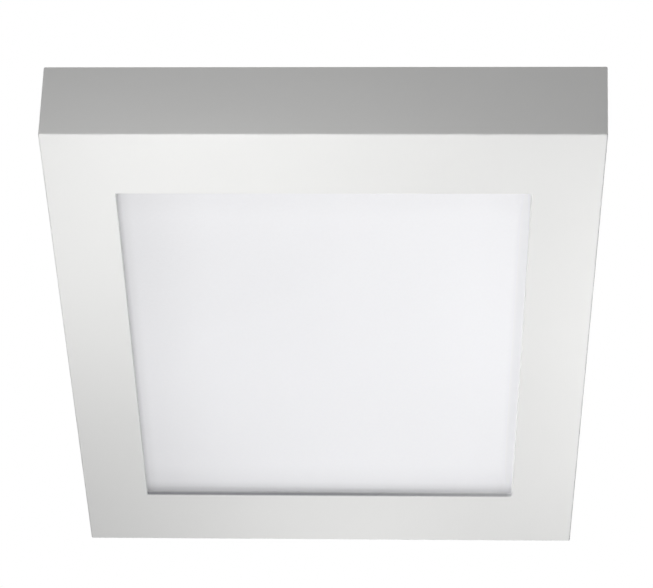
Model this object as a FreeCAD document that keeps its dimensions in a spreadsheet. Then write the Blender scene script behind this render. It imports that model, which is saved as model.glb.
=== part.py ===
import FreeCAD, Part
import math
import os
import re

import Sketcher

# A square surface-mounted LED panel light, in millimetres.
# The frame's origin is the centre of the ceiling plane: z = 0 is the ceiling, the lamp hangs
# down to z = -depth, and the lit face looks down.

os.makedirs("parts", exist_ok=True)
doc = FreeCAD.newDocument("CeilingLight")
sheet = doc.addObject("Spreadsheet::Sheet", "Sizes")

TOLERANCE = 1e-6

# Every size that can be set by itself.
DRIVING = {
    # how far a cut runs past the face that it opens
    "cut_over": 1.0,
    # die-cast frame
    "face_width": 166.0,
    "depth": 33.5,
    "draft_angle": 5.12,
    "wall": 1.6,
    "face_thickness": 2.0,
    "border_width": 21.0,
    "edge_radius": 0.5,
    "window_corner_radius": 0.8,
    "window_edge_radius": 0.3,
    "locating_rib": 1.5,
    "boss_radius": 3.0,
    "boss_hole_radius": 1.25,
    "boss_gap": 2.5,
    "catch_width": 16.0,
    "catch_reach": 2.8,
    "catch_ramp": 2.0,
    "guide_rib": 1.6,
    "guide_rib_drop": 14.0,
    "guide_clearance": 0.4,
    "rim_step_depth": 1.0,
    # light stack, from the window up
    "diffuser_thickness": 1.5,
    "guide_thickness": 2.5,
    "reflector_thickness": 0.25,
    "foam_thickness": 2.0,
    "guide_overlap": 4.0,
    "sheet_inset": 0.3,
    "foam_inset": 2.5,
    "stack_clearance": 0.3,
    # light strips
    "led_pitch": 4.2,
    "led_end_margin": 1.35,
    "led_height": 2.8,
    "led_width": 3.5,
    "led_depth": 0.8,
    "strip_thickness": 1.0,
    "strip_height": 4.5,
    "strip_end_gap": 2.3,
    "strip_gap": 0.1,
    # back cover and its screws
    "cover_thickness": 0.8,
    "cover_margin": 4.3,
    "cover_corner_radius": 5.0,
    "cover_hole_radius": 1.7,
    "bead_width": 8.0,
    "bead_height": 1.2,
    "bead_end_gap": 3.8,
    "screw_length": 5.5,
    "screw_end_gap": 0.8,
    "screw_head_radius": 2.8,
    "screw_head_height": 1.8,
    "recess_length": 3.2,
    "recess_width": 0.7,
    "recess_depth": 1.0,
    # pressed studs and their nuts
    "stud_radius": 1.5,
    "stud_height": 6.5,
    "stud_head_radius": 2.4,
    "nut_radius": 3.175,
    "nut_height": 2.4,
    "lug_thickness": 2.5,
    "lug_length": 9.0,
    "lug_width": 9.0,
    "lug_hole_radius": 1.7,
    # ceiling strap
    "strap_thickness": 1.2,
    "strap_width": 30.0,
    "strap_gap": 6.4,
    "strap_bend_radius": 1.5,
    "ear_drop": 9.0,
    "notch_margin": 1.5,
    "notch_depth": 7.0,
    "flange_drop": 3.5,
    "flange_end_gap": 14.0,
    "cable_hole_radius": 8.0,
    "box_screw_spacing": 60.0,
    "ceiling_screw_spacing": 90.0,
    "slot_width": 4.5,
    "slot_length": 10.0,
    # spring clips
    "clip_width": 14.0,
    "clip_thickness": 0.5,
    "clip_ear_gap": 0.3,
    "clip_bend_radius": 1.5,
    "clip_shoulder_drop": 6.0,
    "clip_nose_drop": 9.3,
    "clip_tip_drop": 14.5,
    "clip_tip_return": 4.7,
    "clip_hold": 1.2,
    "clip_gap": 0.3,
    "rivet_radius": 1.5,
    "rivet_head_radius": 2.6,
    "rivet_head_height": 0.9,
    "rivet_flush_depth": 0.6,
    "rivet_pitch": 6.5,
    "rivet_margin": 4.0,
    "rivet_notch_gap": 3.0,
    # driver
    "driver_length": 82.0,
    "driver_width": 36.0,
    "driver_height": 19.0,
    "driver_gap": 1.0,
    "case_wall": 1.5,
    "case_corner_radius": 1.5,
    "board_lift": 2.0,
    "board_thickness": 1.6,
    "board_clearance": 0.5,
    "post_width": 4.0,
    "lid_thickness": 1.5,
    "lid_lip_depth": 3.0,
    "lid_lip_thickness": 1.2,
    "lid_clearance": 0.2,
    "port_shift": 9.0,
    "transformer_x": -4.0,
    "transformer_y": 2.2,
    "transformer_length": 15.0,
    "transformer_width": 13.0,
    "transformer_height": 10.5,
    "core_leg": 3.2,
    "winding_radius": 4.6,
    "input_capacitor_x": 15.0,
    "input_capacitor_y": -2.0,
    "input_capacitor_radius": 5.0,
    "input_capacitor_length": 14.0,
    "output_capacitor_x": -19.0,
    "output_capacitor_y": -2.0,
    "output_capacitor_radius": 4.0,
    "output_capacitor_length": 11.0,
    "choke_x": 31.0,
    "choke_y": 9.0,
    "choke_radius": 4.5,
    "choke_core_radius": 2.5,
    "choke_height": 8.5,
    "choke_flange": 1.2,
    "film_capacitor_x": 18.0,
    "film_capacitor_y": 10.0,
    "film_capacitor_length": 12.0,
    "film_capacitor_width": 5.0,
    "film_capacitor_height": 9.5,
    "fuse_x": 30.0,
    "fuse_y": 0.0,
    "fuse_radius": 1.6,
    "fuse_length": 7.0,
    "rectifier_x": 26.0,
    "rectifier_y": -9.0,
    "rectifier_length": 6.5,
    "rectifier_width": 4.7,
    "rectifier_height": 2.6,
    "chip_x": -27.0,
    "chip_y": 4.5,
    "chip_length": 4.9,
    "chip_width": 3.9,
    "chip_height": 1.6,
    # wiring box
    "box_length": 56.0,
    "box_width": 34.0,
    "box_height": 18.0,
    "box_wall": 1.6,
    "box_x": -8.0,
    "box_gap": 5.0,
    "box_lid_thickness": 1.5,
    "box_rim_depth": 1.6,
    "box_rim_thickness": 1.2,
    "box_rim_clearance": 0.3,
    "finger_tab_width": 12.0,
    "finger_tab_reach": 2.5,
    "hinge_offset": 2.2,
    "hinge_radius": 1.9,
    "hinge_pin_radius": 1.0,
    "hinge_clearance": 0.05,
    "hinge_ear": 3.0,
    "hinge_span": 36.0,
    "hinge_side_gap": 0.3,
    "hinge_web_drop": 7.6,
    "box_lug_shift": 12.0,
    # terminal block
    "terminal_shift": 12.0,
    "terminal_length": 18.0,
    "pole_pitch": 6.5,
    "terminal_margin": 0.75,
    "terminal_height": 12.5,
    "entry_height": 5.0,
    "entry_radius": 1.7,
    "entry_depth": 3.0,
    "cavity_length": 11.0,
    "cavity_width": 4.8,
    "cavity_height": 7.0,
    "button_length": 4.4,
    "button_width": 3.8,
    "button_clearance": 0.15,
    "button_travel": 1.3,
    "button_proud": 0.3,
    "button_shift": -2.8,
    "button_rest_gap": 0.5,
    "button_dent_width": 0.8,
    "button_dent_depth": 0.4,
    "button_dent_margin": 0.8,
    "contact_width": 4.2,
    "contact_thickness": 0.4,
    "contact_gap": 0.1,
    "contact_bend": 0.6,
    "contact_opening": 1.5,
    # supply cable entry
    "supply_radius": 4.0,
    "grommet_hole_radius": 5.2,
    "grommet_flange_radius": 6.0,
    "grommet_flange": 1.3,
    "clamp_shift": 17.0,
    "clamp_post_radius": 2.6,
    "clamp_post_spacing": 14.0,
    "clamp_bar_width": 6.0,
    "clamp_bar_thickness": 2.4,
    "clamp_saddle_width": 3.0,
    "clamp_screw_radius": 1.2,
    "clamp_screw_depth": 6.0,
    "clamp_head_radius": 2.2,
    "clamp_head_height": 1.3,
    # inner leads
    "core_radius": 1.0,
    "core_level": 2.0,
    "core_exit_run": 5.0,
    "core_drop_run": 9.0,
    "core_rise_run": 5.5,
    "port_run": 4.0,
    "port_inside": 7.0,
    "core_spacing": 3.5,
    "lead_radius": 0.7,
    "lead_spacing": 2.5,
    "pair_spacing": 1.6,
    "lead_end_depth": 3.0,
    "lead_bend": 3.5,
    "core_bend": 4.0,
    "left_grommet_y": -28.0,
    "lead_grommet_bore": 1.8,
    "lead_grommet_hole": 2.5,
    "lead_grommet_flange": 3.0,
    "lead_grommet_lip": 0.9,
    "lead_grommet_clearance": 0.5,
    "connector_y": 2.0,
    "connector_width": 7.0,
    "connector_height": 5.0,
    "plug_length": 12.0,
    "socket_length": 14.0,
    "plug_nose": 5.0,
    "plug_nose_margin": 1.0,
    "plug_fit": 0.1,
    "clip_block_length": 6.0,
    "clip_block_wall": 1.6,
    "clip_block_roof": 0.8,
    "lead_fit": 0.1,
    "core_clip_y": 12.0,
    "lane_clip_x": 31.0,
    "lane_clip_y": -42.0,
    "earth_shift": 20.0,
    "earth_ring_radius": 3.2,
    "earth_ring_hole": 1.6,
    "earth_ring_thickness": 0.8,
    "earth_barrel_radius": 1.5,
    "earth_barrel_length": 6.0,
    "earth_barrel_start": 4.5,
    "earth_crimp_depth": 4.0,
    "earth_straight_run": 2.0,
    "earth_entry_run": 1.0,
}

# Levels and places that follow from the sizes above.
DERIVED = {
    "rim_half": "face_width / 2 + depth * tan(draft_angle)",
    "window_width": "face_width - 2 * border_width",
    "seat_level": "-depth + face_thickness",
    "stack_height": "diffuser_thickness + guide_thickness + reflector_thickness + foam_thickness",
    "cover_level": "seat_level + stack_height",
    "cover_top": "cover_level + cover_thickness",
    "guide_half": "window_width / 2 + guide_overlap",
    "strip_inner_x": "guide_half + stack_clearance + led_depth",
    "rib_inner_x": "strip_inner_x + strip_thickness + strip_gap",
    "rib_inner_y": "guide_half + stack_clearance",
    "strip_length": "2 * (rib_inner_y - strip_end_gap)",
    "boss_place": "rib_inner_x + locating_rib + boss_gap",
    "cover_half": "boss_place + cover_margin",
    "boss_hole_depth": "screw_length - cover_thickness + screw_end_gap",
    "led_level": "seat_level + diffuser_thickness + guide_thickness / 2",
    "strip_top": "led_level + strip_height / 2",
    "strap_half": "rim_half - wall - strap_gap",
    "arm_x": "strap_half - strap_thickness - clip_ear_gap",
    "outer_rivet_x": "strap_half - notch_depth - rivet_notch_gap",
    "inner_rivet_x": "outer_rivet_x - rivet_pitch",
    "clip_start": "inner_rivet_x - rivet_margin",
    "flange_length": "2 * (strap_half - flange_end_gap)",
    "nose_level": "-clip_nose_drop",
    "wall_at_nose": "face_width / 2 + (depth - clip_nose_drop) * tan(draft_angle) - wall",
    "catch_tip": "wall_at_nose - catch_reach",
    "nose_x": "catch_tip + clip_hold",
    "nose_slope": "(clip_nose_drop - clip_shoulder_drop) / (nose_x - arm_x)",
    "catch_level": "-clip_shoulder_drop - (catch_tip - arm_x) * nose_slope + clip_gap",
    "driver_y": "strap_width / 2 + driver_gap + driver_width / 2",
    "bead_offset": "(driver_y + driver_width / 2 + boss_place - screw_head_radius) / 2",
    "lug_x": "driver_length / 2 + lug_length / 2",
    "tray_height": "driver_height - lid_thickness",
    "board_top": "cover_top + case_wall + board_lift + board_thickness",
    "case_lead_level": "board_top + core_radius",
    "box_y": "-(strap_width / 2 + box_gap + box_width / 2)",
    "box_top": "cover_top + box_height",
    "box_floor": "cover_top + box_wall",
    "box_right": "box_x + box_length / 2",
    "box_left": "box_x - box_length / 2",
    "box_front": "box_y - box_width / 2",
    "box_back": "box_y + box_width / 2",
    "hinge_y": "box_front - hinge_offset",
    "terminal_x": "box_x + terminal_shift",
    "terminal_left": "terminal_x - terminal_length / 2",
    "terminal_right": "terminal_x + terminal_length / 2",
    "terminal_half_width": "1.5 * pole_pitch + terminal_margin",
    "terminal_top": "box_floor + terminal_height",
    "entry_level": "box_floor + entry_height",
    "button_x": "terminal_x + button_shift",
    "button_bottom": "entry_level + entry_radius + button_rest_gap",
    "button_top": "terminal_top + button_travel + button_proud",
    "supply_level": "cover_top + (box_wall + box_height - box_rim_depth) / 2",
    "clamp_x": "box_x - clamp_shift",
    "post_top": "supply_level + supply_radius - lead_fit",
    "earth_x": "box_right + earth_shift",
    "earth_y": "box_y - pole_pitch",
    "case_end": "driver_length / 2",
    "lead_y": "driver_y - port_shift",
    "lead_run": "(hinge_radius - hinge_y + boss_place - screw_head_radius) / 2",
    "connector_level": "cover_top + connector_height / 2",
    "grommet_x": "strip_inner_x + strip_thickness / 2",
    "core_run": "(case_end + lug_length + grommet_x - lead_grommet_flange) / 2",
    "connector_x": "-core_run",
    "bead_length": "2 * (core_run - connector_width / 2 - bead_end_gap)",
}

# The spreadsheet holds each driving size as a plain number and each derived one as its formula.
for row, (alias, value) in enumerate(DRIVING.items(), start=1):
    sheet.set(f"A{row}", alias.replace("_", " "))
    sheet.set(f"B{row}", str(value))
    sheet.setAlias(f"B{row}", alias)
for row, (alias, formula) in enumerate(DERIVED.items(), start=1):
    sheet.set(f"D{row}", alias.replace("_", " "))
    sheet.set(f"E{row}", "=" + formula)
    sheet.setAlias(f"E{row}", alias)
doc.recompute()

NAMES = {**DRIVING, **DERIVED}
pieces = []


def sized(expression):
    """The expression with each size's alias pointing at its cell."""
    return re.sub(r"[a-z]\w*", lambda word: f"Sizes.{word[0]}" if word[0] in NAMES else word[0], expression)


def number(expression):
    """What the expression comes to now, in millimetres or degrees."""
    return float(sheet.evalExpression(sized(expression)))


def vector(x, y, z):
    return FreeCAD.Vector(number(x), number(y), number(z))


def done(piece, label):
    """Name a finished sub-part; its file gets the same name."""
    piece.Label = label
    pieces.append(piece)
    return piece


# Part primitives

def place(piece, corner):
    for axis, expression in zip("xyz", corner):
        piece.setExpression("Placement.Base." + axis, sized(expression))


def block(corner, size, name="Block"):
    """A box from its lowest corner and its three sides."""
    piece = doc.addObject("Part::Box", name)
    for side, expression in zip(("Length", "Width", "Height"), size):
        piece.setExpression(side, sized(expression))
    place(piece, corner)
    return piece


def centred(x, y, bottom, length, width, height):
    """A box whose middle is at x, y and whose underside is at bottom."""
    corner = (f"{x} - ({length}) / 2", f"{y} - ({width}) / 2", bottom)
    return block(corner, (length, width, height))


def turned(axis):
    """The rotation that lays a cylinder along an axis."""
    turns = {
        "x": FreeCAD.Rotation(FreeCAD.Vector(0, 1, 0), 90),
        "y": FreeCAD.Rotation(FreeCAD.Vector(1, 0, 0), -90),
        "z": FreeCAD.Rotation(),
    }
    return turns[axis]


def rod(start, radius, length, axis="z"):
    """A cylinder from the middle of its lower end."""
    piece = doc.addObject("Part::Cylinder", "Rod")
    piece.Placement.Rotation = turned(axis)
    piece.setExpression("Radius", sized(radius))
    piece.setExpression("Height", sized(length))
    place(piece, start)
    return piece


def joined(*solids):
    piece = doc.addObject("Part::MultiFuse", "Joined")
    piece.Shapes = list(solids)
    piece.Refine = True
    return piece


def less(solid, *tools):
    piece = doc.addObject("Part::Cut", "Cut")
    piece.Base = solid
    piece.Tool = tools[0] if len(tools) == 1 else joined(*tools)
    return piece


def group(label, solids):
    """Separate solids under one name."""
    piece = doc.addObject("Part::Compound", "Group")
    piece.Links = list(solids)
    return done(piece, label)


# PartDesign helpers

def new_body(label):
    body = doc.addObject("PartDesign::Body", label)
    return done(body, label)


def new_sketch(body, plane, offset="0"):
    """A sketch on one of the body's origin planes, raised along that plane's normal."""
    sketch = body.newObject("Sketcher::SketchObject", "Sketch")
    support = next(item for item in body.Origin.OriginFeatures if item.Role == plane)
    sketch.AttachmentSupport = (support, [""])
    sketch.MapMode = "FlatFace"
    sketch.setExpression("AttachmentOffset.Base.z", sized(offset))
    return sketch


def hold(sketch, kind, geometry, expression):
    """Hold a point of the geometry at a bound distance from the sketch's origin."""
    point = 3 if isinstance(sketch.Geometry[geometry], Part.Circle) else 1
    fresh = Sketcher.Constraint(kind, -1, 1, geometry, point, number(expression))
    sketch.setExpression(f"Constraints[{sketch.addConstraint(fresh)}]", sized(expression))


def outline(sketch, corners):
    """A closed loop of straight lines, each corner held from the origin."""
    first = sketch.GeometryCount
    count = len(corners)
    spots = [vector(x, y, "0") for x, y in corners]
    for step in range(count):
        sketch.addGeometry(Part.LineSegment(spots[step], spots[(step + 1) % count]), False)
    for step, (x, y) in enumerate(corners):
        line = first + step
        following = first + (step + 1) % count
        sketch.addConstraint(Sketcher.Constraint("Coincident", line, 2, following, 1))
        hold(sketch, "DistanceX", line, x)
        hold(sketch, "DistanceY", line, y)


def rectangle(sketch, left, bottom, right, top):
    outline(sketch, [(left, bottom), (right, bottom), (right, top), (left, top)])


def centred_rectangle(sketch, x, y, length, width):
    low_x, high_x = f"{x} - ({length}) / 2", f"{x} + ({length}) / 2"
    low_y, high_y = f"{y} - ({width}) / 2", f"{y} + ({width}) / 2"
    rectangle(sketch, low_x, low_y, high_x, high_y)


def circle(sketch, x, y, radius):
    ring = Part.Circle(vector(x, y, "0"), FreeCAD.Vector(0, 0, 1), number(radius))
    index = sketch.addGeometry(ring, False)
    hold(sketch, "DistanceX", index, x)
    hold(sketch, "DistanceY", index, y)
    size = sketch.addConstraint(Sketcher.Constraint("Radius", index, number(radius)))
    sketch.setExpression(f"Constraints[{size}]", sized(radius))


def raised(body, sketch, length, reverse=False, both_ways=False):
    """Pad the sketch along its plane's normal."""
    feature = body.newObject("PartDesign::Pad", "Pad")
    feature.Profile = sketch
    feature.setExpression("Length", sized(length))
    feature.Reversed = reverse
    feature.SideType = "Symmetric" if both_ways else "One side"
    body.Tip = feature
    return feature


def sunk(body, sketch, length, along_normal=False, both_ways=False):
    """Pocket the sketch, against its plane's normal unless told otherwise."""
    before = body.Tip
    feature = body.newObject("PartDesign::Pocket", "Pocket")
    feature.Profile = sketch
    feature.setExpression("Length", sized(length))
    feature.Reversed = along_normal
    feature.SideType = "Symmetric" if both_ways else "One side"
    body.Tip = feature
    cuts.append((before, feature))
    return feature


def rounded(body, radius, wanted):
    """Fillet the edges of the body's tip that the test picks."""
    doc.recompute()
    base = body.Tip
    names = [f"Edge{n}" for n, edge in enumerate(base.Shape.Edges, start=1) if wanted(edge)]
    feature = body.newObject("PartDesign::Fillet", "Fillet")
    feature.Base = (base, names)
    feature.setExpression("Radius", sized(radius))
    body.Tip = feature
    return feature


def upright(edge):
    """Whether a straight edge runs along z."""
    ends = [vertex.Point for vertex in edge.Vertexes]
    return len(ends) == 2 and math.hypot(ends[0].x - ends[1].x, ends[0].y - ends[1].y) < TOLERANCE


cuts = []


# Wire runs and bent strip

# An arc takes at most this share of the shorter of the two runs that it joins.
RUN_SHARE = 0.45


def bent_path(points, bend):
    """Straight runs joined by tangent arcs, each no larger than its two runs allow."""
    edges = []
    start = points[0]
    for here, corner, there in zip(points, points[1:], points[2:]):
        inward = (corner - here).normalize()
        outward = (there - corner).normalize()
        turn = inward.getAngle(outward)
        shorter = min((corner - here).Length, (there - corner).Length)
        radius = min(bend, RUN_SHARE * shorter / math.tan(turn / 2))
        trim = radius * math.tan(turn / 2)
        arc_start = corner - inward * trim
        arc_end = corner + outward * trim
        toward = (outward - inward).normalize()
        middle = corner + toward * (radius / math.cos(turn / 2) - radius)
        edges.append(Part.LineSegment(start, arc_start).toShape())
        edges.append(Part.Arc(arc_start, middle, arc_end).toShape())
        start = arc_end
    edges.append(Part.LineSegment(start, points[-1]).toShape())
    return Part.Wire(edges)


def lead(label, route, radius, bend):
    """A round insulated wire along a route of runs and arcs."""
    points = [vector(*spot) for spot in route]
    path = bent_path(points, number(bend))
    ring = Part.Circle(points[0], points[1] - points[0], number(radius))
    solid = path.makePipeShell([Part.Wire(ring.toShape())], True, True)
    expected = math.pi * number(radius) ** 2 * path.Length
    print(f"{label}: {path.Length:.1f} mm long, volume {solid.Volume:.2f} of {expected:.2f} mm3")
    piece = doc.addObject("Part::Feature", label)
    piece.Shape = solid
    piece.Placement = FreeCAD.Placement()
    return done(piece, label)


def bent_strip(points, bend, thickness, width):
    """A bent strip of sheet metal whose outer side follows the points, in the plane y = 0."""
    path = bent_path([vector(x, "0", z) for x, z in points], number(bend))
    section = path.makeOffset2D(-number(thickness), 0, True, True, False)
    half = FreeCAD.Vector(0, number(width) / 2, 0)
    section.translate(-half)
    return section.extrude(half * 2)


# The ceiling side: strap, spring clips and rivets

def ceiling_bracket():
    body = new_body("ceiling_bracket")
    profile = new_sketch(body, "XZ_Plane")
    inner = "strap_half - strap_thickness"
    outline(profile, [
        ("-strap_half", "-ear_drop"),
        (f"-({inner})", "-ear_drop"),
        (f"-({inner})", "-strap_thickness"),
        (inner, "-strap_thickness"),
        (inner, "-ear_drop"),
        ("strap_half", "-ear_drop"),
        ("strap_half", "0"),
        ("-strap_half", "0"),
    ])
    raised(body, profile, "strap_width", both_ways=True)
    rounded(body, "strap_bend_radius + strap_thickness", lambda edge: along_y_at(edge, "0"))
    rounded(body, "strap_bend_radius", lambda edge: along_y_at(edge, "-strap_thickness"))
    notches = new_sketch(body, "XY_Plane", "cut_over")
    half_notch = "clip_width / 2 + notch_margin"
    notch_end = "strap_half + cut_over"
    rectangle(notches, "strap_half - notch_depth", f"-({half_notch})", notch_end, half_notch)
    rectangle(notches, f"-({notch_end})", f"-({half_notch})", "-strap_half + notch_depth", half_notch)
    sunk(body, notches, "ear_drop + 2 * cut_over")
    flanges = new_sketch(body, "XY_Plane", "-strap_thickness / 2")
    for edge_y in ("strap_width / 2 - strap_thickness", "-strap_width / 2"):
        other_y = f"{edge_y} + strap_thickness"
        rectangle(flanges, "-flange_length / 2", edge_y, "flange_length / 2", other_y)
    raised(body, flanges, "flange_drop", reverse=True)
    slots = new_sketch(body, "XY_Plane", "cut_over")
    ends = new_sketch(body, "XY_Plane", "cut_over")
    straight = "slot_length - slot_width"
    for spacing in ("box_screw_spacing", "ceiling_screw_spacing"):
        for side in ("", "-"):
            centre = f"{side}{spacing} / 2"
            centred_rectangle(slots, centre, "0", straight, "slot_width")
            circle(ends, f"{centre} - ({straight}) / 2", "0", "slot_width / 2")
            circle(ends, f"{centre} + ({straight}) / 2", "0", "slot_width / 2")
    circle(ends, "0", "0", "cable_hole_radius")
    sunk(body, slots, "strap_thickness + 2 * cut_over")
    sunk(body, ends, "strap_thickness + 2 * cut_over")
    holes = new_sketch(body, "XY_Plane", "cut_over")
    heads = new_sketch(body, "XY_Plane", "cut_over")
    for x in rivet_places():
        circle(holes, x, "0", "rivet_radius")
        circle(heads, x, "0", "rivet_head_radius")
    sunk(body, holes, "strap_thickness + 2 * cut_over")
    sunk(body, heads, "rivet_flush_depth + cut_over")


def along_y_at(edge, level):
    """Whether an edge runs along y at a level."""
    box = edge.BoundBox
    level_edge = box.ZLength < TOLERANCE and abs(box.ZMax - number(level)) < TOLERANCE
    return level_edge and box.XLength < TOLERANCE


def rivet_places():
    """The x of each rivet, inner and outer, on both ends of the strap."""
    return ["inner_rivet_x", "outer_rivet_x", "-inner_rivet_x", "-outer_rivet_x"]


def spring_clips():
    """Bent leaf springs under the strap's ends. Their noses carry the frame's catches."""
    leaf = bent_strip(
        [
            ("clip_start", "-strap_thickness"),
            ("arm_x", "-strap_thickness"),
            ("arm_x", "-clip_shoulder_drop"),
            ("nose_x", "nose_level"),
            ("nose_x - clip_tip_return", "-clip_tip_drop"),
        ],
        "clip_bend_radius", "clip_thickness", "clip_width",
    )
    for x in rivet_places()[:2]:
        start = vector(x, "0", "-strap_thickness - clip_thickness - cut_over")
        hole = Part.makeCylinder(number("rivet_radius"), number("clip_thickness + 2 * cut_over"), start)
        leaf = leaf.cut(hole)
    for label, turn in (("spring_clip_right", 0), ("spring_clip_left", 180)):
        piece = doc.addObject("Part::Feature", label)
        piece.Shape = leaf
        half_turn = FreeCAD.Rotation(FreeCAD.Vector(0, 0, 1), turn)
        piece.Placement = FreeCAD.Placement(FreeCAD.Vector(), half_turn)
        done(piece, label)


def clip_rivets():
    under = "-strap_thickness - clip_thickness"
    solids = []
    for x in rivet_places():
        flush_head = rod((x, "0", "-rivet_flush_depth"), "rivet_head_radius", "rivet_flush_depth")
        shank = rod((x, "0", under), "rivet_radius", "strap_thickness + clip_thickness")
        lower_head = rod((x, "0", f"{under} - rivet_head_height"), "rivet_head_radius", "rivet_head_height")
        solids.append(joined(flush_head, shank, lower_head))
    group("clip_rivets", solids)


# The lamp: frame and light stack

def square(sketch, half):
    rectangle(sketch, f"-({half})", f"-({half})", half, half)


def drafted(body, low, outwards):
    """Lean the walls that rise from a level by the draft angle, hinged at the frame's lit face."""
    doc.recompute()
    base = body.Tip
    faces = [(f"Face{n}", face.BoundBox) for n, face in enumerate(base.Shape.Faces, start=1)]
    feature = body.newObject("PartDesign::Draft", "Draft")
    feature.Base = (base, [name for name, box in faces if rises_from(box, low)])
    feature.NeutralPlane = (base, [name for name, box in faces if box.ZMax < number("-depth") + TOLERANCE])
    feature.setExpression("Angle", sized("draft_angle"))
    feature.Reversed = outwards
    body.Tip = feature


def rises_from(box, low):
    return box.ZLength > TOLERANCE and abs(box.ZMin - number(low)) < TOLERANCE


def wall_middle(level):
    """The x of the middle of the leaning side wall at a level."""
    return f"face_width / 2 + (depth + ({level})) * tan(draft_angle) - wall / 2"


def housing():
    """The one-piece frame: lit face, leaning walls, locating ribs, screw bosses and catches."""
    body = new_body("housing")
    face = new_sketch(body, "XY_Plane", "-depth")
    square(face, "face_width / 2")
    raised(body, face, "depth")
    drafted(body, "-depth", outwards=True)
    rounded(body, "edge_radius", lambda edge: edge.BoundBox.ZMin < -TOLERANCE)
    hollow = new_sketch(body, "XY_Plane", "seat_level")
    square(hollow, "face_width / 2 - wall")
    sunk(body, hollow, "depth - face_thickness", along_normal=True)
    drafted(body, "seat_level", outwards=False)
    ribs = new_sketch(body, "XY_Plane", "seat_level - face_thickness / 2")
    rectangle(ribs, "-rib_inner_x", "-rib_inner_y", "rib_inner_x", "rib_inner_y")
    outer_x, outer_y = "rib_inner_x + locating_rib", "rib_inner_y + locating_rib"
    rectangle(ribs, f"-({outer_x})", f"-({outer_y})", outer_x, outer_y)
    raised(body, ribs, "stack_height + face_thickness / 2")
    bosses = new_sketch(body, "XY_Plane", "seat_level - face_thickness / 2")
    holes = new_sketch(body, "XY_Plane", "cover_level")
    for x, y in boss_places():
        circle(bosses, x, y, "boss_radius")
        circle(holes, x, y, "boss_hole_radius")
    raised(body, bosses, "stack_height + face_thickness / 2")
    sunk(body, holes, "boss_hole_depth")
    window = new_sketch(body, "XY_Plane", "-depth")
    square(window, "window_width / 2")
    sunk(body, window, "face_thickness", along_normal=True)
    rounded(body, "window_corner_radius", window_corner)
    rounded(body, "window_edge_radius", window_mouth)
    passes = new_sketch(body, "XY_Plane", "cover_level")
    pass_width = "2 * (lead_grommet_flange + lead_grommet_clearance)"
    for x, y in lead_grommet_places():
        centred_rectangle(passes, x, y, pass_width, pass_width)
    sunk(body, passes, "lead_grommet_lip + lead_grommet_clearance")
    catch = new_sketch(body, "XZ_Plane")
    root_top = "catch_level + 2 * catch_ramp"
    outline(catch, [
        ("catch_tip", "catch_level"),
        (wall_middle("catch_level"), "catch_level"),
        (wall_middle(root_top), root_top),
        ("catch_tip + catch_reach", root_top),
        ("catch_tip", "catch_level + catch_ramp"),
    ])
    features = [raised(body, catch, "catch_width", both_ways=True)]
    edge_y = "strap_width / 2 + guide_clearance"
    for offset in (edge_y, f"-({edge_y}) - guide_rib"):
        guide = new_sketch(body, "XZ_Plane", offset)
        outline(guide, [
            ("strap_half - strap_thickness", "-rim_step_depth"),
            ("strap_half - strap_thickness", "-guide_rib_drop"),
            (wall_middle("-guide_rib_drop"), "-guide_rib_drop"),
            (wall_middle("-rim_step_depth"), "-rim_step_depth"),
        ])
        features.append(raised(body, guide, "guide_rib"))
    mirror = body.newObject("PartDesign::Mirrored", "Mirrored")
    mirror.Originals = features
    side_plane = next(item for item in body.Origin.OriginFeatures if item.Role == "YZ_Plane")
    mirror.MirrorPlane = (side_plane, [""])
    body.Tip = mirror


def window_corner(edge):
    """Whether an edge is one of the window's four upright corners."""
    spot = edge.Vertexes[0].Point
    off = max(abs(abs(spot.x) - number("window_width / 2")), abs(abs(spot.y) - number("window_width / 2")))
    return upright(edge) and off < TOLERANCE


def window_mouth(edge):
    """Whether an edge lies round the window in the lit face."""
    box = edge.BoundBox
    reach = max(abs(box.XMax), abs(box.XMin), abs(box.YMax), abs(box.YMin))
    in_face = box.ZLength < TOLERANCE and abs(box.ZMin - number("-depth")) < TOLERANCE
    return in_face and reach < number("window_width / 2") + number("edge_radius")


def boss_places():
    """Corner and mid-side screw places, in x and y."""
    signs = ("-boss_place", "0", "boss_place")
    return [(x, y) for x in signs for y in signs if (x, y) != ("0", "0")]


def lead_grommet_places():
    return [("-grommet_x", "left_grommet_y"), ("grommet_x", "-lead_run")]


def plate(label, half_x, half_y, bottom, thickness):
    """A flat rectangular sheet of the light stack."""
    size = (f"2 * ({half_x})", f"2 * ({half_y})", thickness)
    return done(block((f"-({half_x})", f"-({half_y})", bottom), size, "Sheet"), label)


def light_stack():
    above_diffuser = "seat_level + diffuser_thickness"
    above_guide = f"{above_diffuser} + guide_thickness"
    above_reflector = f"{above_guide} + reflector_thickness"
    plate("diffuser", "guide_half", "guide_half", "seat_level", "diffuser_thickness")
    plate("light_guide_plate", "guide_half", "guide_half", above_diffuser, "guide_thickness")
    inset = "guide_half - sheet_inset"
    plate("reflector_sheet", inset, inset, above_guide, "reflector_thickness")
    foam = "guide_half - foam_inset"
    plate("foam_pad", foam, foam, above_reflector, "foam_thickness")


def light_strips():
    """Two strips of LEDs that shine into opposite edges of the light guide."""
    bottom = "strip_top - strip_height"
    sides = {
        "left": ("-strip_inner_x - strip_thickness", "-strip_inner_x"),
        "right": ("strip_inner_x", "strip_inner_x - led_depth"),
    }
    led_span = number("strip_length - 2 * led_end_margin - led_width")
    last = int(led_span / number("led_pitch") + TOLERANCE)
    for side, (board_x, led_x) in sides.items():
        board_size = ("strip_thickness", "strip_length", "strip_height")
        done(block((board_x, "-strip_length / 2", bottom), board_size), f"led_board_{side}")
        leds = []
        for step in range(last + 1):
            middle = f"{step - last / 2} * led_pitch"
            corner = (led_x, f"{middle} - led_width / 2", "led_level - led_height / 2")
            leds.append(block(corner, ("led_depth", "led_width", "led_height")))
        group(f"leds_{side}", leds)


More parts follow.
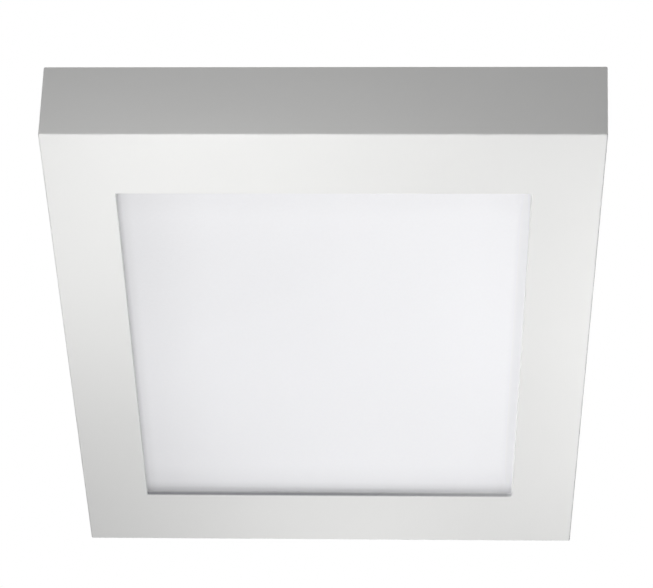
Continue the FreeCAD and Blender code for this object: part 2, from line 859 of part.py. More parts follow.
def back_cover():
    body = new_body("back_cover")
    sheet_outline = new_sketch(body, "XY_Plane", "cover_level")
    square(sheet_outline, "cover_half")
    raised(body, sheet_outline, "cover_thickness")
    rounded(body, "cover_corner_radius", upright)
    beads = new_sketch(body, "XY_Plane", "cover_top")
    grooves = new_sketch(body, "XY_Plane", "cover_level")
    for y in ("0", "bead_offset"):
        centred_rectangle(beads, "0", y, "bead_length", "bead_width")
        inner_length = "bead_length - 2 * cover_thickness"
        centred_rectangle(grooves, "0", y, inner_length, "bead_width - 2 * cover_thickness")
    raised(body, beads, "bead_height")
    sunk(body, grooves, "bead_height", along_normal=True)
    holes = new_sketch(body, "XY_Plane", "cover_top + cut_over")
    for x, y in boss_places():
        circle(holes, x, y, "cover_hole_radius")
    for x, y in stud_places():
        circle(holes, x, y, "stud_head_radius")
    for x, y in lead_grommet_places():
        circle(holes, x, y, "lead_grommet_hole")
    sunk(body, holes, "cover_thickness + 2 * cut_over")


def screw(x, y, seat, radius, length, head_radius, head_height):
    """A pan-head screw that points down, with a cross recess."""
    head = rod((x, y, seat), head_radius, head_height)
    shank = rod((x, y, f"{seat} - ({length})"), radius, length)
    top = f"{seat} + {head_height}"
    height = "recess_depth + cut_over"
    bars = [
        centred(x, y, f"{top} - recess_depth", "recess_length", "recess_width", height),
        centred(x, y, f"{top} - recess_depth", "recess_width", "recess_length", height),
    ]
    return less(joined(head, shank), *bars)


def cover_screws():
    size = ("boss_hole_radius", "screw_length", "screw_head_radius", "screw_head_height")
    group("cover_screws", [screw(x, y, "cover_top", *size) for x, y in boss_places()])


def stud_places():
    """Where the pressed studs stand: two for the driver, two for the wiring box, one for earth."""
    return [*driver_lug_places(), *box_lug_places(), ("earth_x", "earth_y")]


def driver_lug_places():
    return [("lug_x", "driver_y"), ("-lug_x", "driver_y")]


def box_lug_places():
    """The lug behind the wiring box and the one at its end."""
    return [
        ("box_left + box_lug_shift", "box_back + lug_length / 2"),
        ("box_right + lug_length / 2", "box_y + box_lug_shift"),
    ]


def cover_studs():
    studs = []
    for x, y in stud_places():
        head = rod((x, y, "cover_level"), "stud_head_radius", "cover_thickness")
        thread = rod((x, y, "cover_level"), "stud_radius", "cover_thickness + stud_height")
        studs.append(joined(head, thread))
    group("cover_studs", studs)


def stud_nuts():
    nuts = []
    lug_places = [*driver_lug_places(), *box_lug_places()]
    seats = [(x, y, "cover_top + lug_thickness") for x, y in lug_places]
    seats.append(("earth_x", "earth_y", "cover_top + earth_ring_thickness"))
    for x, y, seat in seats:
        hexagon = doc.addObject("Part::Prism", "Hexagon")
        hexagon.Polygon = 6
        hexagon.setExpression("Circumradius", sized("nut_radius"))
        hexagon.setExpression("Height", sized("nut_height"))
        place(hexagon, (x, y, seat))
        hole = rod((x, y, f"{seat} - cut_over"), "stud_radius", "nut_height + 2 * cut_over")
        nuts.append(less(hexagon, hole))
    group("stud_nuts", nuts)


def lead_grommets():
    rings = []
    bottom = "cover_level - lead_grommet_lip"
    whole = "cover_thickness + 2 * lead_grommet_lip"
    for x, y in lead_grommet_places():
        neck = rod((x, y, bottom), "lead_grommet_hole", whole)
        lower = rod((x, y, bottom), "lead_grommet_flange", "lead_grommet_lip")
        upper = rod((x, y, "cover_top"), "lead_grommet_flange", "lead_grommet_lip")
        bore = rod((x, y, f"{bottom} - cut_over"), "lead_grommet_bore", f"{whole} + 2 * cut_over")
        rings.append(less(joined(neck, lower, upper), bore))
    group("lead_grommets", rings)


# The driver

def driver_case():
    body = new_body("driver_case")
    shell = new_sketch(body, "XY_Plane", "cover_top")
    centred_rectangle(shell, "0", "driver_y", "driver_length", "driver_width")
    raised(body, shell, "tray_height")
    rounded(body, "case_corner_radius", upright)
    hollow = new_sketch(body, "XY_Plane", "cover_top + case_wall")
    inner_length, inner_width = "driver_length - 2 * case_wall", "driver_width - 2 * case_wall"
    centred_rectangle(hollow, "0", "driver_y", inner_length, inner_width)
    sunk(body, hollow, "tray_height", along_normal=True)
    posts = new_sketch(body, "XY_Plane", "cover_top + case_wall / 2")
    post_x = "driver_length / 2 - case_wall - post_width / 2"
    post_y = "driver_width / 2 - case_wall - post_width / 2"
    for x in (post_x, f"-({post_x})"):
        for y in (f"driver_y + {post_y}", f"driver_y - ({post_y})"):
            centred_rectangle(posts, x, y, "post_width", "post_width")
    raised(body, posts, "case_wall / 2 + board_lift")
    lugs = new_sketch(body, "XY_Plane", "cover_top")
    lug_holes = new_sketch(body, "XY_Plane", "cover_top")
    for side in ("", "-"):
        root = f"{side}(lug_x - case_wall / 2)"
        centred_rectangle(lugs, root, "driver_y", "lug_length + case_wall", "lug_width")
    raised(body, lugs, "lug_thickness")
    for x, y in driver_lug_places():
        circle(lug_holes, x, y, "lug_hole_radius")
    sunk(body, lug_holes, "lug_thickness", along_normal=True)
    ports = new_sketch(body, "YZ_Plane", "case_end - 2 * case_wall")
    for y in core_ports():
        circle(ports, y, "case_lead_level", "core_radius + lead_fit")
    sunk(body, ports, "3 * case_wall", along_normal=True)
    outlets = new_sketch(body, "YZ_Plane", "-case_end + 2 * case_wall")
    for y in lead_ports():
        circle(outlets, y, "board_top + lead_radius", "lead_radius + lead_fit")
    sunk(body, outlets, "3 * case_wall")


def core_ports():
    """The y of the live and the neutral core where they enter the driver."""
    return ["lead_y - core_spacing / 2", "lead_y + core_spacing / 2"]


def lead_ports():
    """The y of the black and the red lead where they leave the driver."""
    return ["lead_y - lead_spacing / 2", "lead_y + lead_spacing / 2"]


def driver_lid():
    body = new_body("driver_lid")
    top = new_sketch(body, "XY_Plane", "cover_top + tray_height")
    centred_rectangle(top, "0", "driver_y", "driver_length", "driver_width")
    raised(body, top, "lid_thickness")
    rounded(body, "case_corner_radius", upright)
    lip = new_sketch(body, "XY_Plane", "cover_top + tray_height")
    gap = "2 * case_wall + 2 * lid_clearance"
    inner = f"{gap} + 2 * lid_lip_thickness"
    centred_rectangle(lip, "0", "driver_y", f"driver_length - ({gap})", f"driver_width - ({gap})")
    centred_rectangle(lip, "0", "driver_y", f"driver_length - ({inner})", f"driver_width - ({inner})")
    raised(body, lip, "lid_lip_depth", reverse=True)


def driver_parts():
    gap = "2 * case_wall + 2 * board_clearance"
    board = centred("0", "driver_y", "board_top - board_thickness",
                    f"driver_length - ({gap})", f"driver_width - ({gap})", "board_thickness")
    done(board, "driver_board")
    transformer()
    x, y = on_board("input_capacitor")
    lying = rod((f"{x} - input_capacitor_length / 2", y, "board_top + input_capacitor_radius"),
                "input_capacitor_radius", "input_capacitor_length", "x")
    done(lying, "input_capacitor")
    x, y = on_board("output_capacitor")
    done(rod((x, y, "board_top"), "output_capacitor_radius", "output_capacitor_length"), "output_capacitor")
    x, y = on_board("choke")
    lower = rod((x, y, "board_top"), "choke_radius", "choke_flange")
    core = rod((x, y, "board_top"), "choke_core_radius", "choke_height")
    upper = rod((x, y, "board_top + choke_height - choke_flange"), "choke_radius", "choke_flange")
    done(joined(lower, core, upper), "line_choke")
    x, y = on_board("fuse")
    tube = rod((f"{x} - fuse_length / 2", y, "board_top + fuse_radius"), "fuse_radius", "fuse_length", "x")
    done(tube, "fuse")
    blocks = {"film_capacitor": "suppression_capacitor", "rectifier": "rectifier", "chip": "control_chip"}
    for word, label in blocks.items():
        sides = (f"{word}_length", f"{word}_width", f"{word}_height")
        done(centred(*on_board(word), "board_top", *sides), label)


def on_board(word):
    """The place of a component, from the middle of the driver's board."""
    return f"{word}_x", f"driver_y + {word}_y"


def transformer():
    """An E-core pair round a wound middle leg."""
    x, y = on_board("transformer")
    outer = centred(x, y, "board_top", "transformer_length", "transformer_width", "transformer_height")
    window = centred(x, y, "board_top + core_leg / 2", "transformer_length - core_leg",
                     "transformer_width + 2 * cut_over", "transformer_height - core_leg")
    core = less(outer, window)
    done(core, "transformer_core")
    winding = rod((x, y, "board_top + core_leg / 2"), "winding_radius", "transformer_height - core_leg")
    done(winding, "transformer_winding")


# The wiring box with its terminal block

def wiring_box():
    body = new_body("wiring_box")
    shell = new_sketch(body, "XY_Plane", "cover_top")
    rectangle(shell, "box_left", "box_front", "box_right", "box_back")
    raised(body, shell, "box_height")
    rounded(body, "case_corner_radius", upright)
    hollow = new_sketch(body, "XY_Plane", "box_floor")
    rectangle(hollow, "box_left + box_wall", "box_front + box_wall",
              "box_right - box_wall", "box_back - box_wall")
    sunk(body, hollow, "box_height", along_normal=True)
    entry = new_sketch(body, "YZ_Plane", "box_left + 2 * box_wall")
    circle(entry, "box_y", "supply_level", "grommet_hole_radius")
    sunk(body, entry, "3 * box_wall")
    exits = new_sketch(body, "YZ_Plane", "box_right - 2 * box_wall")
    for y in pole_places():
        circle(exits, y, "entry_level", "core_radius + lead_fit")
    sunk(body, exits, "3 * box_wall", along_normal=True)
    posts = new_sketch(body, "XY_Plane", "box_floor - box_wall / 2")
    for y in clamp_places():
        circle(posts, "clamp_x", y, "clamp_post_radius")
    raised(body, posts, "post_top - box_floor + box_wall / 2")
    saddle = new_sketch(body, "XY_Plane", "box_floor - box_wall / 2")
    centred_rectangle(saddle, "clamp_x", "box_y", "clamp_saddle_width", "clamp_post_spacing")
    raised(body, saddle, "supply_level - supply_radius - box_floor + box_wall / 2")
    post_holes = new_sketch(body, "XY_Plane", "post_top")
    for y in clamp_places():
        circle(post_holes, "clamp_x", y, "clamp_screw_radius")
    sunk(body, post_holes, "clamp_screw_depth")
    lugs = new_sketch(body, "XY_Plane", "cover_top")
    (back_x, back_y), (end_x, end_y) = box_lug_places()
    centred_rectangle(lugs, back_x, f"{back_y} - box_wall / 2", "lug_width", "lug_length + box_wall")
    centred_rectangle(lugs, f"{end_x} - box_wall / 2", end_y, "lug_length + box_wall", "lug_width")
    raised(body, lugs, "lug_thickness")
    lug_holes = new_sketch(body, "XY_Plane", "cover_top")
    for x, y in box_lug_places():
        circle(lug_holes, x, y, "lug_hole_radius")
    sunk(body, lug_holes, "lug_thickness", along_normal=True)
    for side in ("", "-"):
        start = f"box_x + ({side}hinge_span / 2) - hinge_ear / 2"
        web = new_sketch(body, "YZ_Plane", start)
        outline(web, [
            ("box_front + box_wall / 2", "box_top - hinge_web_drop"),
            ("hinge_y - hinge_radius", "box_top - hinge_radius"),
            ("hinge_y - hinge_radius", "box_top"),
            ("hinge_y", "box_top - hinge_side_gap"),
            ("box_front + box_wall / 2", "box_top - hinge_side_gap"),
        ])
        raised(body, web, "hinge_ear")
        eye = new_sketch(body, "YZ_Plane", start)
        circle(eye, "hinge_y", "box_top", "hinge_radius")
        raised(body, eye, "hinge_ear")
    pivot = new_sketch(body, "YZ_Plane", "box_x - hinge_span / 2 - hinge_ear / 2")
    circle(pivot, "hinge_y", "box_top", "hinge_pin_radius + hinge_clearance")
    sunk(body, pivot, "hinge_span + hinge_ear", along_normal=True)


def pole_places():
    """The y of the live, neutral and earth poles."""
    return ["box_y + pole_pitch", "box_y", "box_y - pole_pitch"]


def clamp_places():
    return ["box_y + clamp_post_spacing / 2", "box_y - clamp_post_spacing / 2"]


def wiring_box_lid():
    body = new_body("wiring_box_lid")
    top = new_sketch(body, "XY_Plane", "box_top")
    rectangle(top, "box_left", "box_front", "box_right", "box_back")
    raised(body, top, "box_lid_thickness")
    rounded(body, "case_corner_radius", upright)
    rim = new_sketch(body, "XY_Plane", "box_top")
    for inset in ("box_wall + box_rim_clearance", "box_wall + box_rim_clearance + box_rim_thickness"):
        rectangle(rim, f"box_left + {inset}", f"box_front + {inset}",
                  f"box_right - ({inset})", f"box_back - ({inset})")
    raised(body, rim, "box_rim_depth", reverse=True)
    tab = new_sketch(body, "XY_Plane", "box_top")
    rectangle(tab, "box_x - finger_tab_width / 2", "box_back - box_wall",
              "box_x + finger_tab_width / 2", "box_back + finger_tab_reach")
    raised(body, tab, "box_lid_thickness")
    knuckle_half = "hinge_span / 2 - hinge_ear / 2 - hinge_side_gap"
    arm = new_sketch(body, "XY_Plane", "box_top")
    rectangle(arm, f"box_x - ({knuckle_half})", "hinge_y", f"box_x + {knuckle_half}", "box_front + box_wall")
    raised(body, arm, "box_lid_thickness")
    knuckle = new_sketch(body, "YZ_Plane", f"box_x - ({knuckle_half})")
    circle(knuckle, "hinge_y", "box_top", "hinge_radius")
    raised(body, knuckle, f"2 * ({knuckle_half})")
    pin = new_sketch(body, "YZ_Plane", "box_x - hinge_span / 2 - hinge_ear / 2")
    circle(pin, "hinge_y", "box_top", "hinge_pin_radius")
    raised(body, pin, "hinge_span + hinge_ear")


def terminal_block():
    """A three-pole push-in block. Each pole has a wire way, a spring cavity and a button shaft."""
    low_y = "box_y - terminal_half_width"
    shell = block(("terminal_left", low_y, "box_floor"),
                  ("terminal_length", "2 * terminal_half_width", "terminal_height"))
    shaft_length = "button_length + 2 * button_clearance"
    shaft_width = "button_width + 2 * button_clearance"
    cavity_top = "box_floor + cavity_height"
    cutters = []
    for y in pole_places():
        mouth = ("terminal_left - cut_over", y, "entry_level")
        outlet = ("terminal_right - entry_depth", y, "entry_level")
        cutters += [
            rod(mouth, "entry_radius", "terminal_length / 2", "x"),
            rod(outlet, "core_radius", "entry_depth + cut_over", "x"),
            centred("terminal_x", y, "box_floor - cut_over", "cavity_length", "cavity_width",
                    "cavity_height + cut_over"),
            centred("button_x", y, f"{cavity_top} - cut_over", shaft_length, shaft_width, "terminal_height"),
        ]
    done(less(shell, *cutters), "terminal_block")


def terminal_contacts():
    """A bent spring contact in each pole, under its button."""
    left = "terminal_x - cavity_length / 2 + contact_gap"
    right = "terminal_x + cavity_length / 2 - contact_gap"
    low = "box_floor + contact_gap"
    leaf = bent_strip(
        [
            ("terminal_x", f"{low} + contact_thickness"),
            (right, f"{low} + contact_thickness"),
            (right, "entry_level + entry_radius"),
            (f"{left} + contact_opening", "entry_level + entry_radius"),
        ][::-1],
        "contact_bend", "contact_thickness", "contact_width",
    )
    piece = doc.addObject("Part::Feature", "contacts")
    piece.Shape = Part.makeCompound([leaf.translated(vector("0", y, "0")) for y in pole_places()])
    piece.Placement = FreeCAD.Placement()
    done(piece, "terminal_contacts")


def release_buttons():
    """Three push buttons that open the contacts."""
    for pole, y in zip(("live", "neutral", "earth"), pole_places()):
        height = "button_top - button_bottom"
        button = centred("button_x", y, "button_bottom", "button_length", "button_width", height)
        dent = centred("button_x", y, "button_top - button_dent_depth",
                       "button_length - 2 * button_dent_margin", "button_dent_width",
                       "button_dent_depth + cut_over")
        done(less(button, dent), f"{pole}_release_button")


def cable_entry():
    """The supply cable's rubber grommet and the clamp bar that takes its pull."""
    start = "box_left - grommet_flange"
    inside = "box_left + box_wall"
    whole = "box_wall + 2 * grommet_flange"
    neck = rod((start, "box_y", "supply_level"), "grommet_hole_radius", whole, "x")
    outer = rod((start, "box_y", "supply_level"), "grommet_flange_radius", "grommet_flange", "x")
    inner = rod((inside, "box_y", "supply_level"), "grommet_flange_radius", "grommet_flange", "x")
    drilled = f"{whole} + 2 * cut_over"
    bore = rod((f"{start} - cut_over", "box_y", "supply_level"), "supply_radius", drilled, "x")
    done(less(joined(neck, outer, inner), bore), "supply_grommet")
    bar = centred("clamp_x", "box_y", "post_top", "clamp_bar_width",
                  "clamp_post_spacing + 2 * clamp_post_radius", "clamp_bar_thickness")
    drill = "clamp_bar_thickness + 2 * cut_over"
    holes = [rod(("clamp_x", y, "post_top - cut_over"), "clamp_screw_radius", drill) for y in clamp_places()]
    done(less(bar, *holes), "cable_clamp")
    seat = "post_top + clamp_bar_thickness"
    length = "clamp_bar_thickness + clamp_screw_depth - screw_end_gap"
    size = ("clamp_screw_radius", length, "clamp_head_radius", "clamp_head_height")
    group("cable_clamp_screws", [screw("clamp_x", y, seat, *size) for y in clamp_places()])


# Leads inside the lamp, each along its whole route

def supply_cores():
    """Live and neutral from the terminal block to the driver, over the back cover."""
    start = "terminal_right - entry_depth"
    level = "cover_top + core_level"
    for label, pole, run, port in (
        ("live_lead", pole_places()[0], "core_run - core_spacing / 2", core_ports()[0]),
        ("neutral_lead", pole_places()[1], "core_run + core_spacing / 2", core_ports()[1]),
    ):
        lead(label, [
            (start, pole, "entry_level"),
            ("box_right + core_exit_run", pole, "entry_level"),
            ("box_right + core_exit_run + core_drop_run", pole, level),
            (run, pole, level),
            (run, port, level),
            ("case_end + port_run + core_rise_run", port, level),
            ("case_end + port_run", port, "case_lead_level"),
            ("case_end - port_inside", port, "case_lead_level"),
        ], "core_radius", "core_bend")


def earth_connection():
    """The earth lead, its crimped ring and the ring's barrel."""
    barrel_level = "cover_top + earth_barrel_radius"
    barrel_left = "earth_x - earth_barrel_start - earth_barrel_length"
    lead("earth_lead", [
        ("terminal_right - entry_depth", "earth_y", "entry_level"),
        ("box_right + earth_straight_run", "earth_y", "entry_level"),
        (f"{barrel_left} - earth_entry_run", "earth_y", barrel_level),
        (f"{barrel_left} + earth_crimp_depth", "earth_y", barrel_level),
    ], "core_radius", "core_bend")
    ring = rod(("earth_x", "earth_y", "cover_top"), "earth_ring_radius", "earth_ring_thickness")
    tongue = centred("earth_x - earth_ring_radius", "earth_y", "cover_top",
                     "2 * earth_ring_radius", "2 * earth_barrel_radius", "earth_ring_thickness")
    barrel = rod((barrel_left, "earth_y", barrel_level), "earth_barrel_radius", "earth_barrel_length", "x")
    hole = rod(("earth_x", "earth_y", "cover_top - cut_over"), "earth_ring_hole",
               "earth_ring_thickness + 2 * cut_over")
    socket = rod((f"{barrel_left} - cut_over", "earth_y", barrel_level), "core_radius",
                 "earth_crimp_depth + cut_over", "x")
    done(less(joined(ring, tongue, barrel), hole, socket), "earth_ring")


def connector():
    """The plug on the driver's leads and the socket on the strips' leads."""
    low_x = "connector_x - connector_width / 2"
    plug_back = "connector_y + plug_length"
    way_length = "lead_end_depth + cut_over"
    shell = block((low_x, "connector_y", "cover_top"),
                  ("connector_width", "plug_length", "connector_height"))
    nose = block((f"{low_x} + plug_nose_margin", "connector_y - plug_nose", "cover_top + plug_nose_margin"),
                 ("connector_width - 2 * plug_nose_margin", "plug_nose",
                  "connector_height - 2 * plug_nose_margin"))
    ways = [rod((x, f"{plug_back} - lead_end_depth", "connector_level"), "lead_radius", way_length, "y")
            for x in connector_ways()]
    done(less(joined(shell, nose), *ways), "driver_plug")
    back = "connector_y - socket_length"
    cover = block((low_x, back, "cover_top"), ("connector_width", "socket_length", "connector_height"))
    fit = "plug_nose_margin - plug_fit"
    cavity = block((f"{low_x} + {fit}", "connector_y - plug_nose - plug_fit", f"cover_top + {fit}"),
                   (f"connector_width - 2 * ({fit})", "plug_nose + plug_fit + cut_over",
                    f"connector_height - 2 * ({fit})"))
    ways = [rod((x, f"{back} - cut_over", f"connector_level {side} pair_spacing / 2"), "lead_radius",
                way_length, "y") for x in connector_ways() for side in "+-"]
    done(less(cover, cavity, *ways), "strip_socket")


def connector_ways():
    """The x of the red and the black contact."""
    return ["connector_x - lead_spacing / 2", "connector_x + lead_spacing / 2"]


def strip_leads():
    """Red and black leads from the driver to the connector and on to both light strips."""
    red_x, black_x = connector_ways()
    back = "connector_y - socket_length"
    upper = "connector_level + pair_spacing / 2"
    lower = "connector_level - pair_spacing / 2"
    black_port, red_port = lead_ports()
    for colour, x, port, sign in (("red", red_x, red_port, "+"), ("black", black_x, black_port, "-")):
        lead(f"driver_lead_{colour}", [
            ("-case_end + port_inside", port, "board_top + lead_radius"),
            ("-case_end - port_run", port, "board_top + lead_radius"),
            ("-case_end - port_run - core_rise_run", port, "connector_level"),
            (x, port, "connector_level"),
            (x, "connector_y + plug_length - lead_end_depth", "connector_level"),
        ], "lead_radius", "lead_bend")
        lead(f"left_strip_lead_{colour}", [
            (x, f"{back} + lead_end_depth", upper),
            (x, f"left_grommet_y {sign} pair_spacing / 2", upper),
            ("-grommet_x", f"left_grommet_y {sign} pair_spacing / 2", upper),
            ("-grommet_x", f"left_grommet_y {sign} pair_spacing / 2", "strip_top"),
        ], "lead_radius", "lead_bend")
        outward = "-" if sign == "+" else "+"
        lane = f"-lead_run {outward} pair_spacing / 2"
        lead(f"right_strip_lead_{colour}", [
            (x, f"{back} + lead_end_depth", lower),
            (x, lane, lower),
            ("grommet_x", lane, lower),
            ("grommet_x", lane, "strip_top"),
        ], "lead_radius", "lead_bend")


def lead_clip(x, y, along, level, radius, spacing):
    """A small saddle round a pair of leads that runs along x or y."""
    slot_width = f"{spacing} + 2 * {radius} + 2 * lead_fit"
    slot_height = f"2 * {radius} + 2 * lead_fit"
    slot_bottom = f"{level} - {radius} - lead_fit"
    across = f"{slot_width} + 2 * clip_block_wall"
    height = f"{slot_bottom} - cover_top + {slot_height} + clip_block_roof"
    if along == "x":
        saddle = centred(x, y, "cover_top", "clip_block_length", across, height)
        slot = centred(x, y, slot_bottom, "clip_block_length + 2 * cut_over", slot_width, slot_height)
    else:
        saddle = centred(x, y, "cover_top", across, "clip_block_length", height)
        slot = centred(x, y, slot_bottom, slot_width, "clip_block_length + 2 * cut_over", slot_height)
    return less(saddle, slot)


def lead_clips():
    lane = "connector_level - pair_spacing / 2"
    strip_pair = (lane, "lead_radius", "pair_spacing")
    wide_pair = (lane, "lead_radius", "lead_spacing")
    core_pair = ("cover_top + core_level", "core_radius", "core_spacing")
    saddles = [lead_clip(x, "-lead_run", "x", *strip_pair) for x in ("-lane_clip_x", "lane_clip_x")]
    saddles += [lead_clip("core_run", y, "y", *core_pair) for y in ("-core_clip_y", "core_clip_y")]
    saddles.append(lead_clip("connector_x", "lane_clip_y", "y", *wide_pair))
    group("lead_clips", saddles)


ceiling_bracket()
spring_clips()
clip_rivets()
housing()
light_stack()
light_strips()
back_cover()
cover_screws()
cover_studs()
stud_nuts()
lead_grommets()
driver_case()
driver_lid()
driver_parts()
wiring_box()
wiring_box_lid()
terminal_block()
terminal_contacts()
release_buttons()
cable_entry()
supply_cores()
earth_connection()
connector()
strip_leads()
lead_clips()

# Checks before anything is written.
doc.recompute()
failed = [item.Name for item in doc.Objects if "Invalid" in item.State or "Error" in item.State]
for piece in pieces:
    if piece.Shape.isNull() or not piece.Shape.isValid():
        failed.append(f"{piece.Label} has no valid shape")
if failed:
    raise RuntimeError("; ".join(failed))
for before, feature in cuts:
    if feature.Shape.Volume > before.Shape.Volume - 1e-3:
        raise RuntimeError(f"{feature.Name} cuts nothing")

for piece in pieces:
    piece.Shape.exportStep(f"parts/{piece.Label}.step")
    print(f"{piece.Label}: {len(piece.Shape.Solids)} solids, {piece.Shape.Volume:.0f} mm3")
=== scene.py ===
import math

import bpy
import numpy as np
from mathutils import Matrix, Vector


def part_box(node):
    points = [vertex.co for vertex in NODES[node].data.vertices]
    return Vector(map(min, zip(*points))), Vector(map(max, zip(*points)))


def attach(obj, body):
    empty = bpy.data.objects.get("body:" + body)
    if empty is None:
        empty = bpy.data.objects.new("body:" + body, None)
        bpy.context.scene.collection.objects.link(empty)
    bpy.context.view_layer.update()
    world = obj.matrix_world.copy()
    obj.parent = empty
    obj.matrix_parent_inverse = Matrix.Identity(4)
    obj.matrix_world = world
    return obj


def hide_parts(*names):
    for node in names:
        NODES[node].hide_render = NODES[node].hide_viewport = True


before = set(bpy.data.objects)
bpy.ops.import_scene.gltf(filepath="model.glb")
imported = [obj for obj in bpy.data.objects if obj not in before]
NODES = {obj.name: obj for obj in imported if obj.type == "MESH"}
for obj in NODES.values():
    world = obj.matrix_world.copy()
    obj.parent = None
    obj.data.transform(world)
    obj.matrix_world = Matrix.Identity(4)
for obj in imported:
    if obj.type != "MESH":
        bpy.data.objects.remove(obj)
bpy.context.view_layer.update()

MM = 0.001


def new_object(name, data):
    """A new object of that mesh, light or camera, in the scene."""
    added = bpy.data.objects.new(name, data)
    bpy.context.scene.collection.objects.link(added)
    return added


# Materials

class Finish:
    """A material being made: its shader, and the object coordinates that its patterns read."""

    def __init__(self, name, colour, roughness, metallic=0.0, **sockets):
        self.material = bpy.data.materials.new(name)
        self.material.use_nodes = True
        self.tree = self.material.node_tree
        self.shader = self.tree.nodes["Principled BSDF"]
        self.shader.inputs["Base Color"].default_value = (*colour, 1.0)
        self.shader.inputs["Roughness"].default_value = roughness
        self.shader.inputs["Metallic"].default_value = metallic
        for socket, value in sockets.items():
            self.shader.inputs[socket.replace("_", " ")].default_value = value
        self.colour = colour
        self.roughness = roughness
        self.place = self.add("TexCoord").outputs["Object"]

    def add(self, kind, inputs=None, **settings):
        """Add a node with those settings, and feed its inputs."""
        node = self.tree.nodes.new("ShaderNode" + kind)
        for name, value in settings.items():
            setattr(node, name, value)
        for name, value in (inputs or {}).items():
            self.feed(node.inputs[name], value)
        return node

    def feed(self, socket, value):
        """Link a socket to a node's output, or set its own value."""
        if isinstance(value, bpy.types.NodeSocket):
            self.tree.links.new(value, socket)
        else:
            socket.default_value = value

    def stretched(self, along_x=1.0, along_y=1.0, along_z=1.0):
        """Coordinates that draw a pattern out along the axes whose number is above 1."""
        scale = (1 / along_x, 1 / along_y, 1 / along_z)
        return self.add("Mapping", {"Vector": self.place, "Scale": scale}).outputs["Vector"]

    def noise(self, size, detail=3.0, place=None):
        """Soft random spots of about that size, from 0 to 1."""
        inputs = {"Vector": place or self.place, "Scale": 1 / size, "Detail": detail}
        return self.add("TexNoise", inputs).outputs["Fac"]

    def cells(self, size, output="Distance", place=None, feature="F1"):
        """Crystal-like cells of about that size."""
        inputs = {"Vector": place or self.place, "Scale": 1 / size}
        return self.add("TexVoronoi", inputs, feature=feature).outputs[output]

    def warped(self, size, amount):
        """Coordinates pushed about by noise of that size, so that a pattern's borders wander."""
        push = self.add("TexNoise", {"Vector": self.place, "Scale": 1 / size}).outputs["Color"]
        moved = self.add("VectorMath", operation="MULTIPLY_ADD")
        self.feed(moved.inputs[0], push)
        self.feed(moved.inputs[1], (amount, amount, amount))
        self.feed(moved.inputs[2], self.place)
        return moved.outputs["Vector"]

    def axis(self, name, place=None):
        """One of the coordinates, X, Y or Z."""
        return self.add("SeparateXYZ", {"Vector": place or self.place}).outputs[name]

    def maths(self, operation, first, second=0.0):
        """The result of that operation on one or two numbers or sockets."""
        node = self.add("Math", operation=operation)
        self.feed(node.inputs[0], first)
        self.feed(node.inputs[1], second)
        return node.outputs["Value"]

    def remap(self, value, low, high, new_low=0.0, new_high=1.0, smooth=False):
        """Carry the span from low to high over to a new one, and hold it beyond."""
        inputs = {"Value": value, "From Min": low, "From Max": high, "To Min": new_low, "To Max": new_high}
        kind = "SMOOTHSTEP" if smooth else "LINEAR"
        return self.add("MapRange", inputs, interpolation_type=kind).outputs["Result"]

    def spread(self, noise, new_low=0.0, new_high=1.0):
        """Noise keeps near its middle: carry the span that it fills over to a new one."""
        return self.remap(noise, 0.3, 0.7, new_low, new_high)

    def between(self, factor, first, second):
        """A blend from the first colour or value at 0 to the second one at 1."""
        inputs = {"Fac": factor}
        for name, end in (("Color1", first), ("Color2", second)):
            inputs[name] = end if isinstance(end, bpy.types.NodeSocket) else (*end, 1.0)
        return self.add("MixRGB", inputs).outputs["Color"]

    def paint(self, colour):
        """Take the base colour from a pattern."""
        self.feed(self.shader.inputs["Base Color"], colour)
        return self

    def mottled(self, size, share):
        """Spots that are darker than the base colour by that share."""
        darker = tuple(c * (1 - share) for c in self.colour)
        return self.paint(self.between(self.spread(self.noise(size)), self.colour, darker))

    def uneven(self, size, change):
        """Roughness that wanders by that much about its own value."""
        rough = self.spread(self.noise(size), self.roughness - change, self.roughness + change)
        self.feed(self.shader.inputs["Roughness"], rough)
        return self

    def glow(self, colour, strength):
        """Light of that colour that the surface gives off."""
        self.shader.inputs["Emission Color"].default_value = (*colour, 1.0)
        self.feed(self.shader.inputs["Emission Strength"], strength)
        return self

    def relief(self, height, depth):
        """Bumps from a pattern, of that depth in metres."""
        bump = self.add("Bump", {"Height": height, "Distance": depth, "Strength": 1.0})
        self.feed(self.shader.inputs["Normal"], bump.outputs["Normal"])
        return self


# Half widths of the face and its window, and the levels of the face and the sheet, in metres

FACE, WINDOW = 0.083, 0.062
FACE_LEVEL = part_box("housing")[0][2]
SHEET_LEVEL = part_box("diffuser")[0][2]


